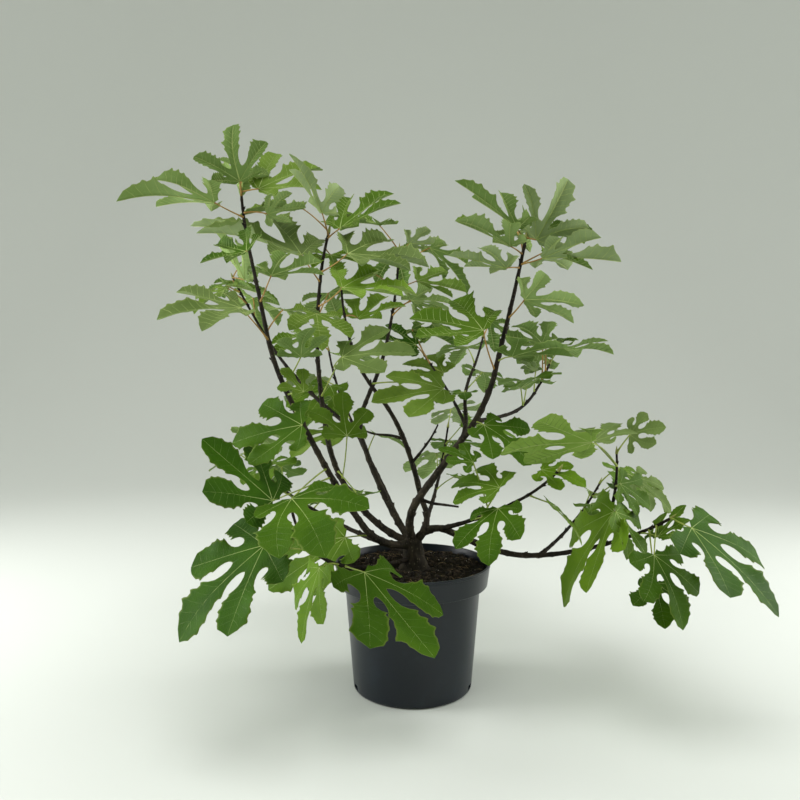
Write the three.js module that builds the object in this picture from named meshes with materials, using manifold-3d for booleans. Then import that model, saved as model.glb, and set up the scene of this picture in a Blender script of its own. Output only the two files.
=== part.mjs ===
// A young fig tree in a pot: a plastic nursery pot of compost, a short trunk, its boughs and their leaves.
// Millimetres, +Z up. The origin is the centre of the pot's underside. The longest low bough runs to +X.
import * as THREE from 'three';
import { mergeVertices } from 'three/addons/utils/BufferGeometryUtils.js';
import Module from 'manifold-3d';

const wasm = await Module();
wasm.setup();

const CLEARANCE = 0.3;

const POT = {
  height: 121.7,
  footRadius: 57,
  footRound: 3,
  neckRadius: 65.2,
  bandFootRadius: 72,
  rimRadius: 74.8,
  bandHeight: 20.8,
  lip: 1.6,
  lipRound: 0.4,
  wall: 1.6,
  floor: 2.4,
  sides: 28,
  notchHeadings: [20, 160, 200, 340],
  notchDepth: 5,
  notchWidth: 9,
  notchHeight: 4,
  notchFoot: 3.6,
};

const COMPOST = {
  level: 116,
  crown: 2.5,
  crownRadius: 32,
  hollowRadius: 18,
  edge: 4,
  edgeDrop: 1.5,
  sides: 20,
};

const TRUNK = {
  flare: 14.5,
  flareHeight: 9,
  hollow: 0.6,
  waist: 10.4,
  top: 8,
  crownRadius: 5.2,
  crownHeight: 4,
  sides: 12,
  stub: 26,
};

// A limb grows in STEPS short straight steps. Its heads are headings seen from above, counted from +X, and
// its leans are angles from upright, both in degrees and evenly spaced from its foot to its tip. It starts on
// another limb, at a fraction of that limb's length. From its end, where it has one, it is a leafy shoot.
const STEPS = 16;
const LIMB_STEP = 25;
const BOUGH_SIDES = 5;
const LIMBS = {
  trunk: { length: 27, heads: [0, 0], leans: [0, 3], thick: [11, 9] },
  bough_left: { from: 'trunk', at: 0.83, length: 400, heads: [-150, -146, -170, -178, -212, -214, -236],
    leans: [94, 36, 28, 26, 14, 16, 10], thick: [3.5, 1.2], end: 0.6 },
  bough_inner_left: { from: 'trunk', at: 0.83, length: 347, heads: [166, 168, 156, 126, 56, 30],
    leans: [72, 40, 12, 8, 6, 16], thick: [3.4, 1.3], end: 0.69 },
  bough_rear: { from: 'trunk', at: 0.83, length: 331, heads: [142, 140, 140, 22, 62, 64, 68],
    leans: [46, 34, 26, 26, 26, 18, 8], thick: [3.4, 1], end: 0.74 },
  bough_centre: { from: 'trunk', at: 0.83, length: 273, heads: [-50, 212, 202, 184, 136, 148],
    leans: [44, 14, 22, 38, 22, 4], thick: [3.1, 1], end: 0.84 },
  bough_right: { from: 'trunk', at: 0.83, length: 322, heads: [-136, -8, -14, 10, 30, 34],
    leans: [22, 36, 36, 14, 16, 14], thick: [3.9, 1.4], end: 0.86 },
  bough_low_right: { from: 'trunk', at: 0.78, length: 262, heads: [-6, -6, -10, -18, -26, -34, -46],
    leans: [20, 116, 106, 82, 72, 64, 56], thick: [3.6, 1.2], end: 0.84 },
  bough_back: { from: 'trunk', at: 0.83, length: 289, heads: [112, 108, 124, 128, 126],
    leans: [72, 62, 46, 38, 18], thick: [3.1, 1.1], end: 0.45 },
  bough_low_front: { from: 'trunk', at: 0.33, length: 181, heads: [-124, -140, -134, -126, -124],
    leans: [88, 88, 72, 48, 16], thick: [2.1, 1.1], end: 0.44 },
  bough_rear_left: { from: 'bough_rear', at: 0.37, length: 238, heads: [156, 150, 148, 152],
    leans: [58, 52, 38, 32], thick: [2.2, 1.1], end: 0.72 },
  bough_rear_right: { from: 'bough_right', at: 0.38, length: 173, heads: [72, 90, 66, 70],
    leans: [72, 54, 54, 42], thick: [2.3, 1.1], end: 0.45 },
  bough_right_side: { from: 'bough_right', at: 0.45, length: 128, heads: [36, 38, 46, 52],
    leans: [88, 80, 50, 40], thick: [2, 1.1], end: 0.46 },
  bough_rear_middle: { from: 'bough_rear_right', at: 0.18, length: 161, heads: [96, 104, 112],
    leans: [70, 66, 60], thick: [1.7, 1], end: 0.7 },
  bough_front_right: { from: 'bough_low_right', at: 0.13, length: 139, heads: [-36, -34, -36, -32],
    leans: [72, 66, 60, 42], thick: [2.1, 1.1], end: 0.7 },
  twig_upright: { from: 'bough_low_right', at: 0.73, length: 86, heads: [-28, -4, 112],
    leans: [16, 10, 4], thick: [1.8, 1], end: 0.36 },
  twig_bare_right: { from: 'bough_centre', at: 0.32, length: 52, heads: [-36, -44, -62],
    leans: [44, 42, 38], thick: [1.3, 0.8] },
  twig_bare_left: { from: 'bough_centre', at: 0.41, length: 43, heads: [176, 162, 154],
    leans: [66, 92, 64], thick: [1.3, 0.8] },
  twig_bare_low: { from: 'bough_right', at: 0.17, length: 43, heads: [-10, -38, -44],
    leans: [112, 88, 90], thick: [1.5, 0.9] },
  bough_low_back: { from: 'trunk', at: 0.67, length: 245, heads: [78, 78, 78, 76],
    leans: [86, 74, 60, 40], thick: [2.8, 1.1], end: 0.5 },
  bough_low_rear_left: { from: 'trunk', at: 0.5, length: 235, heads: [140, 146, 150, 154],
    leans: [86, 76, 66, 50], thick: [2.8, 1.1], end: 0.5 },
  twig_low_rear_right: { from: 'bough_low_right', at: 0.5, length: 120, heads: [48, 44, 40],
    leans: [78, 62, 44], thick: [1.8, 1], end: 0.5 },
};

// Each mass of leaves grows on one stem: the rest of its limb, from a fraction of it, or a knob on the limb's
// side with a heading and a lean. A leaf row holds its place along the stem, its stalk's heading, rise and
// length, and its blade's length, heading, fall below level and roll about the midrib.
// A mass with a fill grows more leaves by the seeded rule, within a sweep of headings.
const KNOB = { length: 9, foot: 2, tip: 1.3 };
const MASSES = [
  {
    name: 'leaves_left_top', limb: 'bough_left', from: 0.6,
    leaves: [
      [0.64, -110, 30, 53, 69, -145, 0, -25],
      [0.73, -70, 20, 56, 52, -25, -15, -15],
      [0.88, -80, -20, 53, 54, 135, -15, -40],
      [0.94, -20, -5, 25, 37, 30, -20, -50],
      [0.93, -130, 15, 34, 80, -170, -10, 10],
      [0.98, -90, 60, 14, 63, -95, -40, 20],
      [0.99, 75, 15, 38, 77, 30, -30, 40],
    ],
    fill: { count: 2, sweep: [40, 120], size: 62, seed: 194 },
  },
  {
    name: 'leaves_left_middle', limb: 'bough_left', at: 0.51, knob: [-65, 80],
    leaves: [
      [1, -70, -30, 49, 67, 170, 10, -55],
      [1, -65, 5, 36, 32, 155, -45, -35],
      [1, -60, 55, 40, 43, -80, -40, 5],
    ],
  },
  {
    name: 'leaves_left_low', limb: 'bough_left', at: 0.31, knob: [-115, 105],
    leaves: [
      [1, -125, -10, 67, 77, -170, -45, -40],
      [1, -105, -5, 75, 83, -65, 10, 20],
    ],
  },
  {
    name: 'leaves_left_foot', limb: 'bough_left', at: 0.12, knob: [-150, 75],
    leaves: [
      [1, -175, -10, 18, 86, -170, 30, -25],
    ],
  },
  {
    name: 'leaves_inner_top', limb: 'bough_inner_left', from: 0.69,
    leaves: [
      [0.72, -85, 10, 60, 61, -80, 25, -10],
      [0.78, -60, 15, 57, 78, 20, -5, 25],
      [0.85, -130, 45, 35, 123, 165, -25, -15],
      [0.88, -45, 20, 43, 87, 20, 0, 35],
      [0.98, -40, 25, 19, 79, 30, -40, 20],
      [0.95, 85, -5, 30, 59, -75, 25, 0],
      [0.99, -90, 10, 65, 64, -110, -45, -30],
    ],
    fill: { count: 2, sweep: [70, 210], size: 60, seed: 86 },
  },
  {
    name: 'leaves_inner_middle', limb: 'bough_inner_left', at: 0.52, knob: [-65, 75],
    leaves: [
      [1, -70, 30, 74, 66, -10, -10, 40],
    ],
  },
  {
    name: 'leaves_inner_low', limb: 'bough_inner_left', at: 0.29, knob: [-75, 75],
    leaves: [
      [1, -80, 40, 66, 55, 105, -50, 0],
      [1, -75, -5, 84, 54, -135, -10, 15],
    ],
  },
  {
    name: 'leaves_rear_top', limb: 'bough_rear', from: 0.74,
    leaves: [
      [0.78, -30, 35, 28, 51, -25, 0, -20],
      [0.87, -20, 20, 26, 57, -20, 10, -25],
      [0.95, -25, 25, 41, 64, 25, 35, -5],
      [0.99, -30, 40, 16, 44, -20, 0, -40],
    ],
    fill: { count: 4, sweep: [20, 220], size: 58, seed: 146 },
  },
  {
    name: 'leaves_rear_left', limb: 'bough_rear_left', from: 0.72,
    leaves: [
      [0.92, -155, 25, 17, 61, -5, 10, 0],
      [1, -45, -10, 23, 66, -130, -60, -15],
    ],
    fill: { count: 4, sweep: [60, 230], size: 58, seed: 244 },
  },
  {
    name: 'leaves_centre_top', limb: 'bough_centre', from: 0.84,
    leaves: [
      [0.9, 75, 0, 40, 61, 55, -30, 10],
    ],
  },
  {
    name: 'leaves_centre_middle', limb: 'bough_centre', at: 0.64, knob: [-45, 75],
    leaves: [
      [1, -20, -5, 66, 67, -165, 5, -30],
    ],
  },
  {
    name: 'leaves_right_top', limb: 'bough_right', from: 0.86,
    leaves: [
      [0.91, -130, -5, 23, 56, -165, -15, 15],
      [0.92, -40, 10, 23, 75, 10, -5, -15],
      [0.95, -140, 20, 18, 65, -145, -25, -5],
      [0.99, -120, 25, 21, 71, -165, -40, -5],
      [1, -35, -15, 11, 67, -60, -45, -60],
    ],
    fill: { count: 3, sweep: [-10, 130], size: 54, seed: 22 },
  },
  {
    name: 'leaves_right_upper', limb: 'bough_right', at: 0.76, knob: [-65, 80],
    leaves: [
      [1, -55, 45, 20, 57, -35, 0, -45],
    ],
  },
  {
    name: 'leaves_right_middle', limb: 'bough_right', at: 0.62, knob: [-90, 75],
    leaves: [
      [1, -135, 55, 36, 78, 150, -15, -35],
      [1, -25, 25, 15, 67, -50, -15, -15],
    ],
  },
  {
    name: 'leaves_right_low', limb: 'bough_right', at: 0.45, knob: [-55, 110],
    leaves: [
      [1, -45, 10, 4, 58, -35, 25, 30],
    ],
  },
  {
    name: 'leaves_right_rear', limb: 'bough_right_side', from: 0.46,
    leaves: [
      [0.51, -105, 45, 26, 61, -80, -20, 15],
      [0.68, 70, 70, 23, 21, -160, -35, 20],
      [0.82, -100, 75, 38, 57, -125, -25, 15],
      [0.9, 75, 85, 28, 42, 35, -15, 0],
      [0.99, 30, 50, 16, 63, 15, -10, -15],
    ],
    fill: { count: 2, sweep: [50, 140], size: 52, seed: 246 },
  },
  {
    name: 'leaves_rear_right', limb: 'bough_rear_right', from: 0.45,
    leaves: [
      [0.5, -105, -5, 10, 42, -135, 5, 0],
    ],
    fill: { count: 3, sweep: [30, 120], size: 62, seed: 119 },
  },
  {
    name: 'leaves_rear_centre', limb: 'bough_rear_middle', from: 0.7,
    leaves: [
      [0.82, 5, -25, 13, 57, 145, -20, -30],
      [1, -120, 30, 23, 58, -175, -15, -35],
      [1, 145, 60, 34, 57, 25, 10, -15],
    ],
    fill: { count: 1, sweep: [120, 150], size: 54, seed: 61 },
  },
  {
    name: 'leaves_bough_end', limb: 'bough_low_right', from: 0.84,
    leaves: [
      [0.87, -50, 0, 19, 41, 25, -45, -10],
      [0.91, -90, -65, 47, 43, -95, 30, 0],
      [0.94, -110, -20, 46, 62, -55, 50, 0],
      [1, -75, -5, 29, 92, -30, 35, 10],
    ],
  },
  {
    name: 'leaves_bough_twig', limb: 'twig_upright', from: 0.36,
    leaves: [
      [0.4, -100, 5, 21, 100, 155, 55, -30],
      [0.42, -100, 5, 39, 50, 0, 50, 35],
      [0.65, -95, 15, 21, 39, 15, 30, 60],
      [0.82, 35, -20, 27, 45, -15, 35, 30],
      [0.86, -120, 20, 86, 74, 175, 0, 35],
      [0.86, -130, 30, 53, 52, 50, -20, 0],
      [1, -35, 55, 21, 36, -60, -20, 75],
    ],
  },
  {
    name: 'leaves_front_right_end', limb: 'bough_front_right', from: 0.7,
    leaves: [
      [0.73, -30, -15, 19, 47, -5, 40, 0],
      [0.92, 150, 40, 11, 41, -30, 5, 25],
    ],
  },
  {
    name: 'leaves_front_right_low', limb: 'bough_front_right', at: 0.34, knob: [-120, 55],
    leaves: [
      [1, -75, 15, 50, 60, -110, 30, 15],
      [1, -70, 35, 52, 57, 135, -5, -30],
      [1, -105, 60, 58, 33, 165, -30, -35],
    ],
  },
  {
    name: 'leaves_front_left', limb: 'bough_low_front', from: 0.44,
    leaves: [
      [0.49, -60, 5, 38, 92, -45, 30, 0],
      [0.53, -110, 10, 40, 62, -140, 65, 10],
      [0.74, -125, 15, 59, 94, -155, 35, -20],
    ],
  },
  {
    name: 'leaves_rear_back', limb: 'bough_back', from: 0.45,
    leaves: [],
    fill: { count: 7, sweep: [50, 260], size: 64, seed: 75 },
  },
  {
    name: 'leaves_low_back', limb: 'bough_low_back', from: 0.5,
    leaves: [],
    fill: { count: 5, sweep: [-10, 150], size: 60, seed: 4 },
  },
  {
    name: 'leaves_low_rear_left', limb: 'bough_low_rear_left', from: 0.5,
    leaves: [],
    fill: { count: 6, sweep: [30, 270], size: 60, seed: 234 },
  },
  {
    name: 'leaves_low_rear_right', limb: 'twig_low_rear_right', from: 0.5,
    leaves: [],
    fill: { count: 4, sweep: [-60, 100], size: 52, seed: 243 },
  },
];

const BLADE = {
  lobeAngles: [0, 38, 82],
  lobeLengths: [1, 0.78, 0.44],
  lobeWidths: [0.18, 0.17, 0.13],
  shoulder: 0.72,
  sinusAngles: [19, 60],
  sinusDepths: [0.27, 0.22],
  baseBack: 0.08,
  baseSide: 0.12,
  droop: 0.12,
  fold: 0.06,
  slenderness: 70,
  thinnest: 0.9,
};
const STALK = { radius: 1, tipRadius: 0.3, rooted: 0.07 };
const FILL = {
  clearFoot: 0.06,
  goldenTurn: 0.618,
  scatter: 0.3,
  scale: [0.8, 1.15],
  stalk: 0.55,
  turn: 25,
  rise: [20, 50],
  fall: [0, 35],
  roll: 20,
};

const COLOURS = {
  plastic: new THREE.MeshStandardMaterial({ color: 0x2c3437, roughness: 0.38, metalness: 0 }),
  compost: new THREE.MeshStandardMaterial({ color: 0x2a211a, roughness: 1, metalness: 0 }),
  bark: new THREE.MeshStandardMaterial({ color: 0x3b332d, roughness: 0.85, metalness: 0 }),
  leaf: new THREE.MeshStandardMaterial({ color: 0x4c7a2c, roughness: 0.6, metalness: 0 }),
};

const radians = THREE.MathUtils.degToRad;
const lerp = THREE.MathUtils.lerp;

// The value at a fraction along an evenly spaced list.
function between(values, fraction) {
  const place = fraction * (values.length - 1);
  const first = Math.min(Math.floor(place), values.length - 2);
  return lerp(values[first], values[first + 1], place - first);
}

function direction(heading, lean) {
  const level = Math.sin(radians(lean));
  return new THREE.Vector3(level * Math.cos(radians(heading)), level * Math.sin(radians(heading)),
    Math.cos(radians(lean)));
}

function seededRandom(seed) {
  let state = seed;
  return () => {
    state = (state + 0x6d2b79f5) | 0;
    let mixed = Math.imul(state ^ (state >>> 15), 1 | state);
    mixed = (mixed + Math.imul(mixed ^ (mixed >>> 7), 61 | mixed)) ^ mixed;
    return ((mixed ^ (mixed >>> 14)) >>> 0) / 4294967296;
  };
}

// A limb's line, as one point for each step.
function grow(foot, limb) {
  const points = [foot.clone()];
  for (let step = 0; step < STEPS; step += 1) {
    const fraction = (step + 0.5) / STEPS;
    const way = direction(between(limb.heads, fraction), between(limb.leans, fraction));
    points.push(points[step].clone().addScaledVector(way, limb.length / STEPS));
  }
  return points;
}

function pointOn(points, fraction) {
  const place = fraction * (points.length - 1);
  const first = Math.min(Math.floor(place), points.length - 2);
  return points[first].clone().lerp(points[first + 1], place - first);
}

function solid(geometry) {
  geometry.deleteAttribute('normal');
  geometry.deleteAttribute('uv');
  const merged = mergeVertices(geometry, 1e-4);
  return new wasm.Manifold(new wasm.Mesh({
    numProp: 3,
    vertProperties: new Float32Array(merged.attributes.position.array),
    triVerts: Uint32Array.from(merged.index.array),
  }));
}

function mesh(name, body, material) {
  const { vertProperties, triVerts } = body.getMesh();
  const geometry = new THREE.BufferGeometry();
  geometry.setAttribute('position', new THREE.BufferAttribute(new Float32Array(vertProperties), 3));
  geometry.setIndex(new THREE.BufferAttribute(new Uint32Array(triVerts), 1));
  geometry.computeVertexNormals();
  const part = new THREE.Mesh(geometry, material);
  part.name = name;
  return part;
}

// A cone bent along part of a curve. Each ring stands square to the curve and is turned to a level line.
function bentCone(curve, { from = 0, to = 1, foot, tip, sides, steps, heading }) {
  const cone = new THREE.CylinderGeometry(tip, foot, 1, sides, steps);
  const level = direction(heading + 90, 90);
  const position = cone.attributes.position;
  for (let i = 0; i < position.count; i += 1) {
    const fraction = lerp(from, to, position.getY(i) + 0.5);
    const ahead = curve.getTangent(fraction);
    const outward = new THREE.Vector3().crossVectors(ahead, level).normalize();
    const sideways = new THREE.Vector3().crossVectors(outward, ahead);
    const point = curve.getPoint(fraction)
      .addScaledVector(outward, position.getX(i))
      .addScaledVector(sideways, position.getZ(i));
    position.setXYZ(i, point.x, point.y, point.z);
  }
  return solid(cone);
}

function lathe(profile, sides) {
  const points = profile.map(([radius, height]) => new THREE.Vector2(radius, height));
  return new THREE.LatheGeometry(points, sides).rotateX(Math.PI / 2);
}

const BAND_FOOT = POT.height - POT.bandHeight;

// The pot is one turned wall with a flat foot, a wider band, a rolled lip and four drain notches.
function potSolid() {
  const inner = (radius) => radius - POT.wall;
  let pot = solid(lathe([
    [0, 0],
    [POT.footRadius - POT.footRound, 0],
    [POT.footRadius, POT.footRound],
    [POT.neckRadius, BAND_FOOT],
    [POT.bandFootRadius, BAND_FOOT],
    [POT.rimRadius - POT.lip / 2, POT.height - 2 * POT.lip],
    [POT.rimRadius, POT.height - POT.lip],
    [POT.rimRadius - POT.lipRound, POT.height],
    [inner(POT.rimRadius - POT.lipRound), POT.height],
    [inner(POT.bandFootRadius), BAND_FOOT + POT.wall],
    [inner(POT.neckRadius), BAND_FOOT],
    [inner(POT.footRadius), POT.floor],
    [0, POT.floor],
  ], POT.sides));
  for (const heading of POT.notchHeadings) {
    const notch = new THREE.BoxGeometry(2 * POT.notchDepth, POT.notchWidth, POT.notchHeight);
    notch.translate(POT.footRadius, 0, POT.notchFoot + POT.notchHeight / 2);
    notch.rotateZ(radians(heading));
    pot = pot.subtract(solid(notch));
  }
  return pot;
}

// Compost fills the pot to a low crown round the trunk, and its wall follows the pot's inside.
function compostSolid() {
  const inside = (radius) => radius - POT.wall - 2 * CLEARANCE;
  const foot = POT.floor + CLEARANCE;
  const seat = COMPOST.level - CLEARANCE;
  return solid(lathe([
    [0, foot],
    [inside(POT.footRadius), foot],
    [inside(POT.neckRadius), BAND_FOOT],
    [inside(POT.bandFootRadius), COMPOST.level - COMPOST.edgeDrop],
    [inside(POT.bandFootRadius) - COMPOST.edge, COMPOST.level],
    [COMPOST.crownRadius, seat + COMPOST.crown],
    [COMPOST.hollowRadius, seat],
    [0, seat],
  ], COMPOST.sides));
}

// The trunk flares to its flat cut at the compost, with the first stretch of each bough that leaves it.
function trunkSolid(lines) {
  const foot = lines.trunk[0];
  const rise = lines.trunk[STEPS].z - foot.z;
  let trunk = solid(lathe([
    [0, 0],
    [TRUNK.flare, 0],
    [(TRUNK.flare + TRUNK.waist) / 2 - TRUNK.hollow, TRUNK.flareHeight / 2],
    [TRUNK.waist, TRUNK.flareHeight],
    [TRUNK.top, rise],
    [TRUNK.crownRadius, rise + TRUNK.crownHeight * 0.8],
    [0, rise + TRUNK.crownHeight],
  ], TRUNK.sides).translate(foot.x, foot.y, foot.z));
  for (const [name, limb] of Object.entries(LIMBS)) {
    if (limb.from === 'trunk') trunk = trunk.add(limbStretch(lines[name], limb, 0, stubEnd(limb)));
  }
  return trunk;
}

function stubEnd(limb) {
  return TRUNK.stub / limb.length;
}

// The part of a limb between two fractions of its length, with its own share of the taper.
function limbStretch(line, limb, from, to, extra = 0) {
  const radius = (fraction) => lerp(limb.thick[0], limb.thick[1], fraction) + extra;
  return bentCone(new THREE.CatmullRomCurve3(line), {
    from,
    to,
    foot: radius(from),
    tip: radius(to),
    sides: BOUGH_SIDES,
    steps: Math.max(2, Math.round((to - from) * limb.length / LIMB_STEP)),
    heading: between(limb.heads, 0.5),
  });
}

// The fractions between which a limb is a piece of its own: from past its stub to its leafy shoot.
function ownStretch(limb) {
  return [limb.from === 'trunk' ? stubEnd(limb) + CLEARANCE / limb.length : 0, limb.end ?? 1];
}

// A bough starts flush with its stub on the trunk, or is seated on the side of the limb that carries it.
function boughSolid(lines, name, limb) {
  const body = limbStretch(lines[name], limb, ...ownStretch(limb));
  return limb.from === 'trunk' ? body : largest(body.subtract(seat(lines, limb.from)));
}

// What a piece keeps clear of on the side of a limb: that limb, grown by the clearance.
function seat(lines, name) {
  return limbStretch(lines[name], LIMBS[name], ...ownStretch(LIMBS[name]), CLEARANCE);
}

function largest(body) {
  const pieces = body.decompose();
  return pieces.reduce((best, piece) => (piece.volume() > best.volume() ? piece : best));
}

// The stem of a mass: its line, and its solid seated on or flush with its bough.
function massStem(lines, mass) {
  const limb = LIMBS[mass.limb];
  const line = lines[mass.limb];
  if (mass.knob) {
    const foot = pointOn(line, mass.at);
    const way = direction(...mass.knob);
    const knob = [foot, foot.clone().addScaledVector(way, KNOB.length)];
    const body = bentCone(new THREE.LineCurve3(...knob), {
      foot: KNOB.foot, tip: KNOB.tip, sides: BOUGH_SIDES, steps: 1, heading: mass.knob[0],
    });
    return { line: knob, body: largest(body.subtract(seat(lines, mass.limb))) };
  }
  return { line, body: limbStretch(line, limb, mass.from + CLEARANCE / limb.length, 1) };
}

// Half of the blade's outline as [along, across], from the tip of the middle lobe round to the base.
function halfOutline() {
  const lobe = (index, along, across) => {
    const angle = radians(BLADE.lobeAngles[index]);
    const length = along * BLADE.lobeLengths[index];
    const side = across * BLADE.lobeWidths[index];
    return [
      length * Math.cos(angle) - side * Math.sin(angle),
      length * Math.sin(angle) + side * Math.cos(angle),
    ];
  };
  const sinus = (index) => {
    const angle = radians(BLADE.sinusAngles[index]);
    return [BLADE.sinusDepths[index] * Math.cos(angle), BLADE.sinusDepths[index] * Math.sin(angle)];
  };
  return [
    lobe(0, 1, 0), lobe(0, BLADE.shoulder, 1),
    sinus(0), lobe(1, BLADE.shoulder, -1), lobe(1, 1, 0), lobe(1, BLADE.shoulder, 1),
    sinus(1), lobe(2, 1, 0),
    [-BLADE.baseBack, BLADE.baseSide],
  ];
}

// The blade's frame: its midrib, its left side and its upper face.
function bladeFrame(heading, fall, roll) {
  const along = direction(heading, 90 + fall);
  const level = direction(heading + 90, 90);
  const upright = new THREE.Vector3().crossVectors(along, level);
  const across = level.multiplyScalar(Math.cos(radians(roll)))
    .addScaledVector(upright, Math.sin(radians(roll)));
  return { along, across, up: new THREE.Vector3().crossVectors(along, across) };
}

const HALF = halfOutline();
const OTHER_HALF = HALF.slice(1).reverse().map(([along, across]) => [along, -across]);
const OUTLINE = [...HALF, [0, 0], ...OTHER_HALF];

function bladeSolid(joint, leaf) {
  const shape = new THREE.Shape(OUTLINE.map(([along, across]) => new THREE.Vector2(along, across)));
  const thickness = Math.max(BLADE.thinnest, leaf.size / BLADE.slenderness);
  const blade = new THREE.ExtrudeGeometry(shape, { depth: 1, bevelEnabled: false });
  const position = blade.attributes.position;
  const { along, across, up } = bladeFrame(leaf.heading, leaf.fall, leaf.roll);
  for (let i = 0; i < position.count; i += 1) {
    const u = position.getX(i);
    const v = position.getY(i);
    const rise = leaf.size * (BLADE.fold * Math.abs(v) - BLADE.droop * (u * u + v * v));
    const point = joint.clone()
      .addScaledVector(along, leaf.size * u)
      .addScaledVector(across, leaf.size * v)
      .addScaledVector(up, rise + thickness * (position.getZ(i) - 0.5));
    position.setXYZ(i, point.x, point.y, point.z);
  }
  return solid(blade);
}

// A stalk runs from the stem to the blade and ends sunk in the foot of the midrib.
function leafSolid(foot, leaf) {
  const joint = foot.clone().addScaledVector(direction(leaf.stalkHeading, 90 - leaf.stalkRise), leaf.stalk);
  const rooted = joint.clone()
    .addScaledVector(direction(leaf.heading, 90 + leaf.fall), STALK.rooted * leaf.size);
  const stalk = bentCone(new THREE.LineCurve3(foot, rooted), {
    foot: STALK.radius, tip: STALK.tipRadius, sides: 3, steps: 1, heading: leaf.stalkHeading,
  });
  return stalk.add(bladeSolid(joint, leaf));
}

function rowLeaf([place, stalkHeading, stalkRise, stalk, size, heading, fall, roll]) {
  return { place, stalkHeading, stalkRise, stalk, size, heading, fall, roll };
}

// More leaves along a mass's stem: places evenly spaced, headings spread over the sweep by the golden turn.
function filledLeaves(mass) {
  const leaves = [];
  const { count, sweep, size, seed } = mass.fill;
  const random = seededRandom(seed);
  const within = ([low, high]) => lerp(low, high, random());
  for (let i = 0; i < count; i += 1) {
    const turned = (i * FILL.goldenTurn + FILL.scatter * random()) % 1;
    const stalkHeading = lerp(sweep[0], sweep[1], turned);
    const length = size * within(FILL.scale);
    leaves.push({
      place: lerp(mass.from + FILL.clearFoot, 1, count > 1 ? i / (count - 1) : 0.5),
      stalkHeading,
      stalkRise: within(FILL.rise),
      stalk: length * FILL.stalk,
      size: length,
      heading: stalkHeading + within([-FILL.turn, FILL.turn]),
      fall: within(FILL.fall),
      roll: within([-FILL.roll, FILL.roll]),
    });
  }
  return leaves;
}

const AXES = [0, 1, 2];

function touches(body, others) {
  const box = body.boundingBox();
  const near = others.filter(({ box: other }) => AXES.every((axis) => (
    box.min[axis] <= other.max[axis] && other.min[axis] <= box.max[axis])));
  return near.some((other) => !body.intersect(other.body).isEmpty());
}

function boxed(body) {
  return { body, box: body.boundingBox() };
}

// A mass is its stem with its leaves fused on. A leaf that would touch another piece is left out.
function massSolid(mass, stem, others) {
  const leaves = mass.leaves.map(rowLeaf).concat(mass.fill ? filledLeaves(mass) : []);
  let body = stem.body;
  for (const leaf of leaves) {
    const grown = leafSolid(pointOn(stem.line, leaf.place), leaf);
    if (!touches(grown, others)) body = body.add(grown);
  }
  return body;
}

const lines = {};
for (const [name, limb] of Object.entries(LIMBS)) {
  const foot = limb.from ? pointOn(lines[limb.from], limb.at) : new THREE.Vector3(0, 0, COMPOST.level);
  lines[name] = grow(foot, limb);
}

const fig = new THREE.Group();
const finished = [];
function place(name, body, material) {
  fig.add(mesh(name, body, material));
  finished.push(boxed(body));
}

place('pot', potSolid(), COLOURS.plastic);
place('compost', compostSolid(), COLOURS.compost);
place('trunk', trunkSolid(lines), COLOURS.bark);
for (const [name, limb] of Object.entries(LIMBS)) {
  if (limb.from) place(name, boughSolid(lines, name, limb), COLOURS.bark);
}
const stems = MASSES.map((mass) => massStem(lines, mass));
MASSES.forEach((mass, index) => {
  const later = stems.slice(index + 1).map(({ body }) => boxed(body));
  place(mass.name, massSolid(mass, stems[index], [...finished, ...later]), COLOURS.leaf);
});

export default fig;
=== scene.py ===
import math
import bpy
import mathutils
import numpy as np
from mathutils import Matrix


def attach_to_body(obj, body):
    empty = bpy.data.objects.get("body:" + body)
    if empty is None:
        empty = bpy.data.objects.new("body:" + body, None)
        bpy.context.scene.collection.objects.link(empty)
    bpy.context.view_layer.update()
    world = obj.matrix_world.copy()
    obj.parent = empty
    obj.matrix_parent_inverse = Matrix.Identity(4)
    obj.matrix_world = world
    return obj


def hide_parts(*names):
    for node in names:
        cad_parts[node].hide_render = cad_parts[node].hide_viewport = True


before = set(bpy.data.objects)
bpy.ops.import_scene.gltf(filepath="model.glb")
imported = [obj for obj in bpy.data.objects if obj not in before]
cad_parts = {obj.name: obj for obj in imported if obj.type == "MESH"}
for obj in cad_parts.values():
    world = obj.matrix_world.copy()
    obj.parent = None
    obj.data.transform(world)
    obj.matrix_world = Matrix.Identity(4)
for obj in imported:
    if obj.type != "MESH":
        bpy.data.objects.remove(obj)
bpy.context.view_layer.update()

# A young fig tree in a nursery pot. Lengths are millimetres in the pieces' dictionaries and metres in the
# materials, the room and the camera. Angles are degrees.
mm = 0.001
print("frame loaded,", len(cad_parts), "nodes")

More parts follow.
